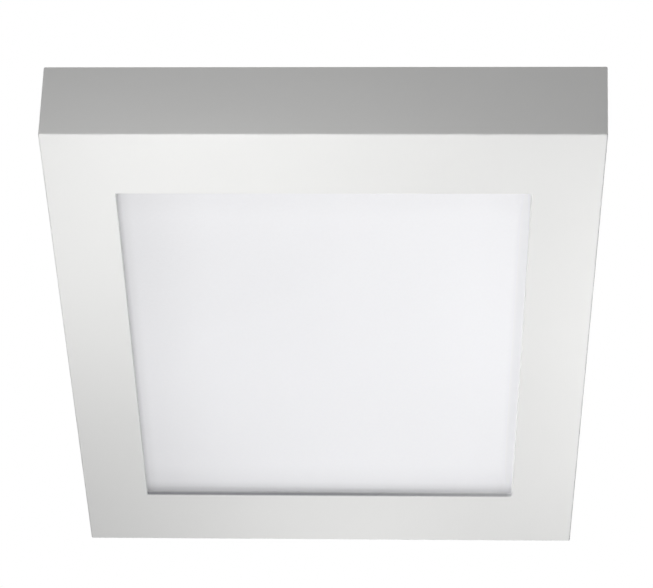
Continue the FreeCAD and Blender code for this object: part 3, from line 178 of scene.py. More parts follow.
def satin_powder_coat():
    """White powder coat with faint orange peel, with painted shade in grey on the window's far and left
    walls and on the frame's right rim. The window's right wall has a painted glow, faint at its near end."""
    white, off_white, painted_shade_grey = (0.86, 0.86, 0.85), (0.85, 0.85, 0.84), (0.285, 0.288, 0.30)
    finish = Finish("satin powder coat", white, 0.46)
    finish.uneven(0.012, 0.03)
    coat = finish.between(finish.spread(finish.noise(0.03)), white, off_white)
    across, along, height = finish.axis("X"), finish.axis("Y"), finish.axis("Z")
    within = finish.maths("MAXIMUM", finish.maths("ABSOLUTE", across), finish.maths("ABSOLUTE", along))
    in_window = finish.remap(within, WINDOW + 0.00005, WINDOW + 0.00025, 1.0, 0.0)
    beside_wall, at_wall = WINDOW - 0.0020, WINDOW - 0.0002

    # Painted shade: grey on the window's far wall, less towards the right, at the sheet and at the lip, and
    # on its left wall
    to_right = finish.remap(across, 0.01, 0.06, 1.0, 0.82)
    to_sheet = finish.remap(height, SHEET_LEVEL - 0.0009, SHEET_LEVEL, 1.0, 0.4)
    from_lip = finish.remap(height, FACE_LEVEL, FACE_LEVEL + 0.0004, 0.35, 1.0)
    wall_shade_fade = finish.maths("MULTIPLY", to_right, finish.maths("MULTIPLY", to_sheet, from_lip))
    far_wall_shade = finish.maths("MULTIPLY", finish.remap(along, beside_wall, at_wall), wall_shade_fade)
    left_wall_shade = finish.remap(across, -at_wall, -beside_wall, 0.45, 0.0)
    walls = finish.maths("MULTIPLY", in_window, finish.maths("MAXIMUM", far_wall_shade, left_wall_shade))
    # Painted shade on the frame's right rim, next to the face
    at_face = finish.remap(height, FACE_LEVEL + 0.0003, FACE_LEVEL + 0.0006, 1.0, 0.0)
    right_rim = finish.remap(across, FACE - 0.0005, FACE - 0.0001, 0.0, 0.8)
    painted_rim_shade = finish.maths("MULTIPLY", at_face, right_rim)
    finish.paint(finish.between(finish.maths("MAXIMUM", walls, painted_rim_shade), coat, painted_shade_grey))

    # Painted light: a glow on the window's right wall, faint at its near end and stronger from its middle on
    right_wall = finish.maths("MULTIPLY", in_window, finish.remap(across, beside_wall, at_wall))
    painted_wall_glow = finish.maths("MULTIPLY", right_wall, finish.remap(along, -WINDOW, -0.005, 0.03, 0.19))
    finish.glow((1.0, 1.0, 1.0), painted_wall_glow)
    return finish.relief(finish.noise(0.0011, detail=2.0), 0.00002)


def opal_acrylic():
    """Satin opal sheet, with painted shade by the window's edges and in its near left part, and a painted
    glow in its far half and at its right."""
    tint = (0.9, 0.9, 0.92)
    finish = Finish("opal acrylic", tint, 0.5)
    across, along = finish.axis("X"), finish.axis("Y")

    # Painted shade by the window's edges. Each dark strip: its coordinate, its darkest line, its width from
    # there, and the light left there
    shade = 1.0
    for place, darkest, width, left in (
        (across, -WINDOW, 0.0014, 0.850),
        (across, -WINDOW, 0.0045, 0.900),
        (across, -WINDOW, 0.0272, 0.927),
        (across, WINDOW - 0.0040, -0.0130, 0.970),
        (along, WINDOW, -0.0050, 0.790),
        (along, WINDOW, -0.0141, 0.900),
        (along, -WINDOW, 0.0120, 0.949),
    ):
        strip = finish.remap(place, darkest, darkest + width, left, 1.0, smooth=True)
        shade = finish.maths("MULTIPLY", shade, strip)
    # Painted shade, deeper towards the near left
    near_half = finish.remap(along, -0.045, 0.030, 1.0, 0.0, smooth=True)
    near_left = finish.maths("MULTIPLY", near_half, finish.remap(across, -WINDOW, 0.006, 0.09, 0.0))
    shade = finish.maths("MULTIPLY", shade, finish.maths("SUBTRACT", 1.0, near_left))
    grain = finish.noise(0.0009, detail=4.0)
    shown = finish.maths("MULTIPLY", shade, finish.spread(grain, 0.985, 1.0))
    finish.paint(finish.between(shown, (0.0, 0.0, 0.0), tint))

    # Painted light: a glow that grows into the far half and towards the near right, rises in a band by the
    # right edge and drops in its last millimetre, dimmed by the painted shade
    far_half = finish.remap(along, -0.054, 0.018, 0.0, 0.063, smooth=True)
    near_right = finish.maths("MULTIPLY", near_half, finish.remap(across, 0.0, 0.045, 0.0, 0.04))
    strip_from, brightest = WINDOW - 0.0039, WINDOW - 0.0012
    rising = finish.remap(across, strip_from, brightest, 0.02, 0.16, smooth=True)
    falling = finish.remap(across, brightest, WINDOW, 0.0, 0.095)
    light = finish.maths("ADD", finish.maths("ADD", far_half, near_right), rising)
    light = finish.maths("SUBTRACT", light, falling)
    finish.glow((0.95, 0.96, 1.0), finish.maths("MULTIPLY", light, shade))
    return finish.relief(grain, 0.00002)


def moulded(name, colour, roughness, share=0.03):
    """Spark-textured injection-moulded plastic."""
    finish = Finish(name, colour, roughness)
    finish.mottled(0.006, share)
    finish.uneven(0.004, 0.05)
    return finish.relief(finish.noise(0.00035), 0.00003)


def clear_guide():
    """Clear acrylic with printed dots that grow with the distance from the light strips."""
    clear, print_white = (0.93, 0.96, 0.95), (0.97, 0.97, 0.97)
    half_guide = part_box("light_guide_plate")[1][0]
    finish = Finish("clear acrylic", clear, 0.06, Transmission_Weight=0.9, IOR=1.49)
    size = finish.remap(finish.maths("ABSOLUTE", finish.axis("X")), 0.0, half_guide, 0.5, 0.25)
    dots = finish.maths("LESS_THAN", finish.cells(0.0016), size)
    return finish.paint(finish.between(dots, clear, print_white))


def reflector_film():
    """White film with a faint grain."""
    finish = Finish("reflector film", (0.95, 0.95, 0.95), 0.7)
    finish.mottled(0.02, 0.02)
    return finish.relief(finish.noise(0.0006), 0.00001)


def open_foam():
    """Grey open-cell foam, with painted shade in its cells' hollows, paler where its cells end."""
    finish = Finish("grey foam", (0.22, 0.22, 0.23), 0.95)
    cell = finish.cells(0.0009)
    finish.paint(finish.between(cell, (0.10, 0.10, 0.11), (0.30, 0.30, 0.31)))
    return finish.relief(cell, 0.0004)


def strip_mask():
    """White solder mask over aluminium."""
    finish = Finish("white solder mask", (0.86, 0.87, 0.85), 0.4)
    finish.mottled(0.003, 0.04)
    return finish.relief(finish.noise(0.0005), 0.00001)


def led_package():
    """White LED body with a yellow phosphor window at half its height."""
    low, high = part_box("leds_left")
    middle, half_window = (low[2] + high[2]) / 2, 0.0009
    finish = Finish("led package", (0.88, 0.86, 0.78), 0.4)
    from_middle = finish.maths("ABSOLUTE", finish.maths("SUBTRACT", finish.axis("Z"), middle))
    window = finish.maths("LESS_THAN", from_middle, half_window)
    return finish.paint(finish.between(window, (0.88, 0.88, 0.86), (0.85, 0.62, 0.10)))


def zinc_sheet():
    """Galvanised sheet: feathery crystals, each of its own grey and sheen, under faint rolling lines."""
    finish = Finish("galvanised steel", (0.51, 0.53, 0.54), 0.4, metallic=1.0)
    crystals = finish.cells(0.0036, output="Color", place=finish.warped(0.0009, 0.0012))
    feathers = finish.between(
        finish.axis("Z", place=crystals),
        finish.noise(0.0004, place=finish.stretched(along_x=7.0)),
        finish.noise(0.0004, place=finish.stretched(along_y=7.0)),
    )
    crystal_part = finish.maths("MULTIPLY", finish.axis("X", place=crystals), 0.65)
    feather_part = finish.maths("MULTIPLY", feathers, 0.35)
    grey = finish.maths("ADD", crystal_part, feather_part)
    finish.paint(finish.between(grey, (0.47, 0.485, 0.50), (0.56, 0.575, 0.585)))
    sheen = finish.remap(finish.axis("Y", place=crystals), 0.0, 1.0, 0.36, 0.46)
    finish.feed(finish.shader.inputs["Roughness"], sheen)
    rolled = finish.noise(0.0007, place=finish.stretched(along_x=15.0))
    return finish.relief(rolled, 0.000006)


def spring_strip():
    """Tempered spring steel, brushed along the strip, with a blue-grey oxide."""
    finish = Finish("spring steel", (0.40, 0.42, 0.45), 0.3, metallic=1.0)
    brushed = finish.noise(0.0006, place=finish.stretched(along_x=30.0, along_z=30.0))
    finish.paint(finish.between(brushed, (0.33, 0.35, 0.39), (0.50, 0.51, 0.53)))
    finish.uneven(0.003, 0.06)
    return finish.relief(brushed, 0.00001)


def bright_metal(name, colour, roughness, darker):
    """A plated or turned metal with dull spots and fine pits."""
    finish = Finish(name, colour, roughness, metallic=1.0)
    finish.mottled(0.0015, darker)
    finish.uneven(0.001, 0.06)
    return finish.relief(finish.noise(0.0003), 0.000008)


def rubber():
    """Dull black rubber."""
    finish = Finish("black rubber", (0.025, 0.025, 0.027), 0.75)
    finish.mottled(0.002, 0.3)
    return finish.relief(finish.noise(0.0004), 0.00003)


def green_laminate():
    """Green solder mask over copper tracks."""
    finish = Finish("green board", (0.02, 0.22, 0.08), 0.35)
    tracks = finish.cells(0.006, feature="DISTANCE_TO_EDGE")
    track = finish.maths("LESS_THAN", tracks, 0.08)
    finish.paint(finish.between(track, (0.015, 0.16, 0.06), (0.03, 0.30, 0.11)))
    return finish.relief(track, 0.00003)


def capacitor_sleeve():
    """Dark shrunk sleeve with one pale stripe down its far side."""
    dark, pale, stripe_depth = (0.02, 0.03, 0.09), (0.62, 0.64, 0.66), 0.0005
    stripe_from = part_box("output_capacitor")[1][1] - stripe_depth
    finish = Finish("capacitor sleeve", dark, 0.35)
    stripe = finish.maths("GREATER_THAN", finish.axis("Y"), stripe_from)
    return finish.paint(finish.between(stripe, dark, pale))


def striped_core():
    """Green insulation with a yellow stripe along one side. Its border is a sine wave along the lead."""
    green, yellow = (0.05, 0.36, 0.09), (0.85, 0.68, 0.04)
    finish = Finish("green and yellow insulation", green, 0.38)
    lead_low, lead_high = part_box("earth_lead")
    side = finish.maths("SUBTRACT", finish.axis("Y"), (lead_low[1] + lead_high[1]) / 2)
    sway = finish.maths("SINE", finish.maths("MULTIPLY", finish.axis("X"), 260.0))
    stripe = finish.maths("GREATER_THAN", side, finish.maths("MULTIPLY", sway, 0.0004))
    return finish.paint(finish.between(stripe, green, yellow))


def insulation(name, colour):
    """Smooth extruded insulation, a little uneven in shade and surface."""
    finish = Finish(name, colour, 0.36)
    finish.mottled(0.002, 0.08)
    return finish.relief(finish.noise(0.0005), 0.000012)


FINISHES = {
    "frame_white": satin_powder_coat(),
    "opal_diffuser": opal_acrylic(),
    "clear_acrylic": clear_guide(),
    "white_film": reflector_film(),
    "grey_foam": open_foam(),
    "strip_board": strip_mask(),
    "led_body": led_package(),
    "galvanised_steel": zinc_sheet(),
    "spring_steel": spring_strip(),
    "rivet_aluminium": bright_metal("rivet aluminium", (0.80, 0.81, 0.82), 0.35, 0.12),
    "zinc_fasteners": bright_metal("zinc plate", (0.68, 0.69, 0.70), 0.28, 0.18),
    "black_rubber": rubber(),
    "driver_white": moulded("white driver plastic", (0.80, 0.80, 0.78), 0.5),
    "wiring_box_grey": moulded("grey box plastic", (0.42, 0.44, 0.45), 0.52),
    "green_board": green_laminate(),
    "ferrite": moulded("ferrite", (0.06, 0.06, 0.065), 0.6, 0.25),
    "yellow_tape": moulded("yellow winding tape", (0.85, 0.62, 0.08), 0.35, 0.06),
    "capacitor_sleeve": capacitor_sleeve(),
    "film_yellow": moulded("yellow film capacitor", (0.80, 0.60, 0.12), 0.4),
    "choke_sleeve": moulded("choke sleeve", (0.03, 0.10, 0.05), 0.4, 0.1),
    "fuse_ceramic": moulded("fuse ceramic", (0.75, 0.72, 0.62), 0.45),
    "chip_black": moulded("chip plastic", (0.03, 0.03, 0.032), 0.55, 0.2),
    "terminal_white": moulded("white terminal plastic", (0.78, 0.78, 0.74), 0.42),
    "button_orange": moulded("orange button", (0.80, 0.25, 0.03), 0.4),
    "button_green": moulded("green button", (0.08, 0.40, 0.12), 0.4),
    "contact_metal": bright_metal("tinned copper", (0.78, 0.74, 0.66), 0.3, 0.15),
    "clamp_black": moulded("black clamp plastic", (0.035, 0.035, 0.038), 0.5, 0.2),
    "wire_brown": insulation("brown insulation", (0.16, 0.06, 0.025)),
    "wire_blue": insulation("blue insulation", (0.02, 0.14, 0.50)),
    "wire_green_yellow": striped_core(),
    "wire_red": insulation("red insulation", (0.50, 0.02, 0.02)),
    "wire_black": insulation("black insulation", (0.02, 0.02, 0.022)),
    "connector_white": moulded("white connector plastic", (0.82, 0.81, 0.77), 0.45),
}

for node in NODES.values():
    slot = node.data.materials[0].name
    node.data.materials[0] = FINISHES[slot].material


# Softened edges on the carried-over nodes, in millimetres

SOFT_EDGES = {
    "housing": 0.25,
    "ceiling_bracket": 0.15,
    "spring_clip_right": 0.1,
    "spring_clip_left": 0.1,
    "back_cover": 0.38,
    "driver_case": 0.5,
    "wiring_box": 0.4,
    "wiring_box_lid": 0.4,
    "terminal_block": 0.25,
    "cable_clamp": 0.4,
    "live_release_button": 0.25,
    "neutral_release_button": 0.25,
    "earth_release_button": 0.25,
    "transformer_core": 0.3,
    "suppression_capacitor": 0.5,
    "rectifier": 0.2,
    "control_chip": 0.15,
}


def soften(node, radius):
    """Join a node's loose triangles and its flat faces, and round its sharp edges by that radius."""
    merged = node.modifiers.new("merged", "WELD")
    merged.merge_threshold = 1e-6
    flat = node.modifiers.new("flat faces", "DECIMATE")
    flat.decimate_type = "DISSOLVE"
    flat.angle_limit = math.radians(0.6)
    edges = node.modifiers.new("soft edges", "BEVEL")
    edges.width = radius * MM
    edges.segments = 2
    edges.limit_method = "ANGLE"
    edges.angle_limit = math.radians(35)
    edges.harden_normals = True
    node.modifiers.new("shading", "WEIGHTED_NORMAL")


for name, radius in SOFT_EDGES.items():
    soften(NODES[name], radius)


# Surfaces worked out as grids of points

class Shape:
    """Grids of points, in millimetres, gathered into one mesh. Rows run upwards or along, columns round."""

    def __init__(self):
        self.points = []
        self.faces = []
        self.count = 0

    def take(self, points, *groups):
        """Add points, and groups of faces that number them from 0."""
        for corners in groups:
            self.faces += (corners + self.count).tolist()
        self.points.append(points)
        self.count += len(points)
        return self

    def solid(self, grid):
        """A grid that closes round its columns, with its first and last rows drawn in to one point each."""
        rows, columns = grid.shape[:2]
        rings = grid[1:-1].reshape(-1, 3)
        ends = np.stack([grid[0].mean(axis=0), grid[-1].mean(axis=0)])
        near = np.arange(columns)
        following = (near + 1) % columns
        top = (rows - 3) * columns
        first, last = np.full(columns, len(rings)), np.full(columns, len(rings) + 1)
        low_fan = np.stack([first, following, near], axis=1)
        high_fan = np.stack([last, top + near, top + following], axis=1)
        return self.take(np.vstack([rings, ends]), quads_of(rows - 2, columns, False), low_fan, high_fan)

    def ring(self, grid):
        """A grid that closes both ways, such as a nut or a grommet."""
        rows, columns = grid.shape[:2]
        return self.take(grid.reshape(-1, 3), quads_of(rows, columns, True))

    def piece(self, name, body, slot, replaced=(), sharp=35):
        """Make the mesh a piece on that body. Edges over the sharp angle, in degrees, stay sharp."""
        mesh = bpy.data.meshes.new(name)
        mesh.from_pydata((np.vstack(self.points) * MM).tolist(), [], self.faces)
        mesh.polygons.foreach_set("use_smooth", np.ones(len(mesh.polygons), bool))
        mesh.set_sharp_from_angle(angle=math.radians(sharp))
        mesh.materials.append(FINISHES[slot].material)
        piece = new_object(name, mesh)
        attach(piece, body)
        if replaced:
            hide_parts(*replaced)
        return piece


def quads_of(rows, columns, closed):
    """Corner numbers of a grid's quads, which close round the columns, and along the rows too if closed."""
    down = np.arange(rows if closed else rows - 1)[:, None]
    near = np.arange(columns)[None, :]
    following = (near + 1) % columns
    below = (down + 1) % rows
    corners = [down * columns + near, down * columns + following, below * columns + following,
               below * columns + near]
    return np.stack(corners, axis=-1).reshape(-1, 4)


def turns(columns):
    """The angles of that many equal steps of a full turn."""
    return np.linspace(0.0, 2 * np.pi, columns, endpoint=False)


def turned(radius, angle, height):
    """Points at those radii, angles and heights about the z axis."""
    x, y = radius * np.cos(angle), radius * np.sin(angle)
    return np.stack([x, y, np.broadcast_to(height, x.shape)], axis=-1)


def lathed(profile, columns=32):
    """A profile of radius and height, from the bottom up, turned about the z axis."""
    radius, height = np.array(profile, float).T[:, :, None]
    return turned(radius, turns(columns), height)


def corner_arc(radius, height, size, start, end, steps=4):
    """Profile points of a quarter-round of that size, about a centre at radius and height."""
    angle = np.radians(np.linspace(start, end, steps))
    return list(zip(radius + size * np.cos(angle), height + size * np.sin(angle)))


def laid_along_x(grid):
    """The same shape with its z axis laid along x."""
    return grid[..., [2, 0, 1]]


def laid_along_y(grid):
    """The same shape with its z axis laid along y."""
    return np.stack([grid[..., 0], grid[..., 2], -grid[..., 1]], axis=-1)


def ridge(phase):
    """A thread's ridge: 1 at its crest and 0 at its root, with a flat of a quarter turn at each."""
    wave = np.abs((phase % 1.0) * 2 - 1)
    return np.clip(wave * 2 - 0.5, 0.0, 1.0)


def threaded(radius, low, high, pitch, depth, columns, steps):
    """Rows of a thread, so many steps a turn. Its groove, of that depth, climbs one pitch a turn."""
    rows = int(round((high - low) / pitch * steps)) + 1
    height = np.linspace(low, high, rows)[:, None]
    angle = turns(columns)
    near_end = np.clip(np.minimum(height - low, high - height) / pitch, 0.0, 1.0)
    groove = depth * (1 - ridge(height / pitch - angle / (2 * np.pi))) * near_end
    return turned(radius - groove, angle, height)


def cross_recess(x, y, arm, width, depth):
    """Depth of a cross recess: two tapering bars with leaning walls, which meet in a deeper middle."""
    wall_run, end_run = 0.12, 0.25
    distance = np.hypot(x, y)
    half_bar = width / 2 * (1.15 - 0.35 * distance / arm)
    off_bar = np.minimum(np.abs(x), np.abs(y)) - half_bar
    inside_bar = np.clip(-off_bar / wall_run, 0.0, 1.0)
    inside_arm = np.clip((arm - distance) / end_run, 0.0, 1.0)
    return depth * inside_bar * inside_arm * (1 - 0.45 * distance / arm)


def pan_head(radius, height, arm, width, depth, columns):
    """Rows of a pan head: a flat seat, a round side, and a cross recess in a dome that is a parabola."""
    shoulder, chamfer, centre, rings = height * 0.45, 0.15, 0.02, 22
    side = [(radius - chamfer, 0.0), (radius, chamfer), (radius, height - shoulder)]
    side += corner_arc(radius - shoulder, height - shoulder, shoulder, 0, 65, steps=5)[1:]
    dome_radius, dome_foot = side[-1]
    rise = height - dome_foot
    dome = np.linspace(dome_radius, centre, rings)[1:]
    profile = side + [(r, dome_foot + rise * (1 - (r / dome_radius) ** 2)) for r in dome]
    grid = lathed(profile, columns)
    grid[..., 2] -= cross_recess(grid[..., 0], grid[..., 1], arm, width, depth)
    return grid


def screw(shank, length, head, head_height, pitch):
    """A pan-head screw with its seat at z = 0: a blunt tip, a threaded shank and the head."""
    columns, tip_length, thread_from, plain_neck = 48, 0.7, 0.8, 0.05
    tip = lathed([(0.0, -length), (shank * 0.45, -length), (shank * 0.8, tip_length - length)], columns)
    thread = threaded(shank, thread_from - length, -plain_neck, pitch, pitch * 0.35, columns, steps=5)
    crown = pan_head(head, head_height, head * 0.58, head * 0.25, head_height * 0.55, columns)
    return np.concatenate([tip, thread, crown])


def stood(grid, place, turn=0.0):
    """The grid turned about the z axis and moved to its place."""
    cosine, sine = math.cos(turn), math.sin(turn)
    x, y, z = grid[..., 0], grid[..., 1], grid[..., 2]
    return np.stack([x * cosine - y * sine, x * sine + y * cosine, z], axis=-1) + np.array(place)


def hexagon_nut(across, height, bore):
    """A hexagon nut: its corners are cut by a cone of 30 degrees at both ends, and its bore is chamfered."""
    angle, chamfer = turns(72), 0.25
    flat = across / 2
    wall = flat / np.cos((angle + np.pi / 6) % (np.pi / 3) - np.pi / 6)
    cone = flat * 0.97
    drop = (wall - cone) * math.tan(math.radians(30))
    rows = [
        (bore, chamfer), (bore + chamfer, 0.0), (cone, 0.0), (wall, drop),
        (wall, height - drop), (cone, height), (bore + chamfer, height), (bore, height - chamfer),
    ]
    return np.stack([turned(radius, angle, level) for radius, level in rows])


def grommet(bore, neck, flange, lip, wall, columns=48):
    """A rubber ring: two round-lipped flanges with a neck between them that fills the hole in the wall."""
    soft, rim = lip * 0.4, 0.1
    low, high = -lip, wall + lip
    profile = corner_arc(bore + soft, low + soft, soft, 180, 270)
    profile += corner_arc(flange - soft, low + soft, soft, 270, 360)
    profile += [(flange, -rim), (flange - rim, 0.0), (neck, 0.0), (neck, wall), (flange - rim, wall)]
    profile += [(flange, wall + rim)]
    profile += corner_arc(flange - soft, high - soft, soft, 0, 90)
    profile += corner_arc(bore + soft, high - soft, soft, 90, 180)
    return lathed(profile, columns)


def outline(half_a, half_b, radius, per_corner):
    """A rectangle with a quarter circle at each corner. Sizes may be columns, for one outline a row."""
    steps = np.linspace(0, 90, per_corner + 1)
    angle = np.radians((np.arange(4)[:, None] * 90 + steps).ravel())
    side_a = np.repeat([1, -1, -1, 1], per_corner + 1)
    side_b = np.repeat([1, 1, -1, -1], per_corner + 1)
    along_a = side_a * (half_a - radius) + radius * np.cos(angle)
    along_b = side_b * (half_b - radius) + radius * np.sin(angle)
    return along_a, along_b


def rounded_rows(half_x, half_y, radius, rows, per_corner=6):
    """Outlines of a round-cornered block, one for each pair of inset and height."""
    least_corner = 0.1
    inset, height = np.array(rows, float).T[:, :, None]
    corner = np.maximum(radius - inset, least_corner)
    x, y = outline(half_x - inset, half_y - inset, corner, per_corner)
    return np.stack([x, y, height + 0 * x], axis=-1)


def lofted(sections):
    """A bar along y. Each section gives its y, its middle's x and z, its half sizes and its corners."""
    place, x, z, half_x, half_z, radius = np.array(sections, float).T[:, :, None]
    across, upwards = outline(half_x, half_z, radius, per_corner=3)
    return np.stack([x + across, place + 0 * across, z - upwards], axis=-1)


def low_block(half_x, half_y, radius, bottom, top, soft):
    """A flat round-cornered block with a softened top edge. Its faces close on a narrow middle strip."""
    middle_strip = 0.12
    centre = min(half_x, half_y) - middle_strip
    rows = [(centre, bottom), (0, bottom), (0, top - soft), (soft * 0.3, top - soft * 0.3), (soft, top)]
    return rounded_rows(half_x, half_y, radius, rows + [(centre, top)])


def box_mm(node):
    """The lowest and highest corners of a node and its middle, in millimetres."""
    low, high = (np.array(corner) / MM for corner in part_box(node))
    return low, high, (low + high) / 2


# Screws, studs and nuts, in millimetres

# The cover's sheet, the radius of its screws' heads, and a turn in radians that no two screws share
SHEET = 0.8
COVER_HEAD = 2.8
GOLDEN_TURN = 2.4


def cover_screws():
    """Eight screws, at the corners and the middles of the sides of a square, each turned otherwise."""
    shank, head_height, pitch = 1.25, 1.8, 0.6
    low, high, _ = box_mm("cover_screws")
    reach, seat = high[0] - COVER_HEAD, high[2] - head_height
    thread = screw(shank, seat - low[2], COVER_HEAD, head_height, pitch)
    places = [(x, y) for x in (-reach, 0, reach) for y in (-reach, 0, reach) if x or y]
    screws = Shape()
    for number, (x, y) in enumerate(places):
        screws.solid(stood(thread, (x, y, seat), number * GOLDEN_TURN))
    screws.piece("cover_screw_set", "lamp", "zinc_fasteners", ["cover_screws"])


def clamp_screws():
    """Two screws, one at each end of the cable clamp."""
    shank, head_radius, head_height, pitch = 1.2, 2.2, 1.3, 0.6
    low, high, middle = box_mm("cable_clamp_screws")
    seat = high[2] - head_height
    thread = screw(shank, seat - low[2], head_radius, head_height, pitch)
    screws = Shape()
    for y, turn in ((low[1] + head_radius, 0.5), (high[1] - head_radius, 1.9)):
        screws.solid(stood(thread, (middle[0], y, seat), turn))
    screws.piece("clamp_screw_pair", "lamp", "zinc_fasteners", ["cable_clamp_screws"])


# Each stud: where it stands, and what its nut sits on
LUG, EARTH_RING = 2.5, 0.8
STUDS = {
    "driver_left": (-45.5, 34.0, LUG),
    "driver_right": (45.5, 34.0, LUG),
    "box_back": (-24.0, -15.5, LUG),
    "box_side": (24.5, -25.0, LUG),
    "earth": (40.0, -43.5, EARTH_RING),
}


def studs_and_nuts():
    """Pressed studs with heads flush in the cover, threaded to their chamfered tips, and their nuts."""
    low, high, _ = box_mm("cover_studs")
    radius, pitch, depth, head, chamfer, columns = 1.48, 0.5, 0.22, 2.4, 0.1, 36
    height = high[2] - low[2]
    thread_from, thread_end, tip_radius = SHEET + 0.1, height - 0.4, radius - 0.38
    foot = [(0, 0), (head - chamfer, 0), (head, chamfer), (head, SHEET), (radius, SHEET + 0.02)]
    thread = threaded(radius, thread_from, thread_end, pitch, depth, columns, steps=6)
    tip = [(tip_radius, height), (0, height)]
    stud = np.concatenate([lathed(foot, columns), thread, lathed(tip, columns)])
    nut = hexagon_nut(across=5.5, height=2.4, bore=1.5)
    studs, nuts = Shape(), Shape()
    for number, (x, y, under_nut) in enumerate(STUDS.values()):
        turn = number * GOLDEN_TURN
        studs.solid(stood(stud, (x, y, low[2]), turn))
        nuts.ring(stood(nut, (x, y, low[2] + SHEET + under_nut), turn))
    studs.piece("threaded_studs", "lamp", "zinc_fasteners", ["cover_studs"])
    nuts.piece("hexagon_nuts", "lamp", "zinc_fasteners", ["stud_nuts"], sharp=25)


def rivets():
    """Blind rivets: a flush head with a dimple over the broken mandrel, and a formed head below."""
    low, high, _ = box_mm("clip_rivets")
    shank, head, flush, formed, soft, spacing = 1.5, 2.6, 0.6, 0.9, 0.1, 6.5
    bottom, top = low[2], high[2]
    mandrel_end = [(0, bottom), (0.7, bottom), (0.75, bottom + 0.25), (1.3, bottom + 0.2)]
    formed_head = [
        (2.2, bottom + 0.35), (head - soft / 2, bottom + 0.6), (head, bottom + formed - soft / 2),
        (head - soft, bottom + formed), (shank, bottom + formed),
    ]
    flush_head = [
        (shank, top - flush), (head - soft, top - flush), (head - soft, top - 0.2), (head - 0.3, top - 0.02),
        (1.25, top),
    ]
    dimple = [(1.05, top - 0.15), (0.95, top - 0.5), (0.6, top - 0.42), (0, top - 0.38)]
    rivet = lathed(mandrel_end + formed_head + flush_head + dimple, columns=40)
    outer = high[0] - head
    inner = outer - spacing
    shape = Shape()
    for x in (-outer, -inner, inner, outer):
        shape.solid(rivet + np.array([x, 0.0, 0.0]))
    shape.piece("blind_rivets", "bracket", "rivet_aluminium", ["clip_rivets"])


# Rubber, foam and mouldings, in millimetres

def rubber_rings():
    """Two rings where the leads pass the cover, and one where the supply cable enters the wiring box."""
    low, high, _ = box_mm("lead_grommets")
    bore, neck, flange, lip = 1.8, 2.5, 3.0, 0.9
    ring = grommet(bore, neck, flange, lip, SHEET)
    rings = Shape()
    for x, y in ((low[0] + flange, high[1] - flange), (high[0] - flange, low[1] + flange)):
        rings.ring(ring + np.array([x, y, low[2] + lip]))
    rings.piece("lead_rings", "lamp", "black_rubber", ["lead_grommets"])
    low, _, middle = box_mm("supply_grommet")
    bore, neck, flange, lip, box_wall = 4.0, 5.2, 6.0, 1.3, 1.6
    inlet = laid_along_x(grommet(bore, neck, flange, lip, box_wall, columns=64))
    inlet = inlet + np.array([low[0] + lip, middle[1], middle[2]])
    Shape().ring(inlet).piece("supply_inlet_ring", "lamp", "black_rubber", ["supply_grommet"])


def foam():
    """A pressed foam pad: flat where the film and the cover press it. Its cut sides bulge as half a circle,
    and wander by a sum of three sine waves round the pad."""
    low, high, middle = box_mm("foam_pad")
    play, crown, corner, waver = 0.05, 0.9, 4.0, 0.12
    half_x, half_y = (high - low)[:2] / 2 - play
    bottom, top = low[2] + play, high[2] - play
    rise, centre = (top - bottom) / 2, half_y - 1
    angle = np.radians(np.linspace(-90, 90, 9))
    side = [(crown * (1 - math.cos(a)), bottom + rise * (1 + math.sin(a))) for a in angle]
    rows = [(centre, bottom)] + side + [(centre, top)]
    grid = rounded_rows(half_x, half_y, corner, rows, per_corner=24)
    around = turns(grid.shape[1])
    waves = np.sin(17 * around) + np.sin(29 * around + 1.0) + np.sin(47 * around + 2.5)
    wander = waver * waves - 3 * waver
    bulge = np.sin(np.linspace(0, np.pi, len(grid)))[:, None]
    grid[..., 0] += np.sign(grid[..., 0]) * wander * bulge
    grid[..., 1] += np.sign(grid[..., 1]) * wander * bulge
    grid += np.array([middle[0], middle[1], 0.0])
    pad = Shape().solid(grid).piece("pressed_foam", "lamp", "grey_foam", ["foam_pad"])


def driver_cap():
    """The driver's lid: a round-edged plate over a locating lip, with a sunk bare panel on its top."""
    low, high, middle = box_mm("driver_lid")
    half_x, half_y = (high - low)[:2] / 2
    lip_depth, lip_outside, lip_inside, under_edge, edge = 3.0, 1.7, 2.9, 0.25, 0.7
    corner, panel, bevel, slope, sunk = 1.5, 3.0, 0.1, 0.35, 0.3
    seat, top, centre = low[2] + lip_depth, high[2], half_y - 1
    rows = [(centre, seat), (lip_inside, seat), (lip_inside, low[2]), (lip_outside, low[2])]
    rows += [(lip_outside, seat), (under_edge, seat), (0.0, seat + under_edge)]
    rows += [(edge * (1 - math.cos(a)), top - edge * (1 - math.sin(a))) for a in np.radians((0, 30, 60, 90))]
    rows += [(panel, top), (panel + bevel, top - bevel / 2), (panel + slope, top - sunk)]
    rows += [(centre, top - sunk)]
    grid = rounded_rows(half_x, half_y, corner, rows) + np.array([middle[0], middle[1], 0.0])
    Shape().solid(grid).piece("driver_lid_moulding", "lamp", "driver_white", ["driver_lid"])


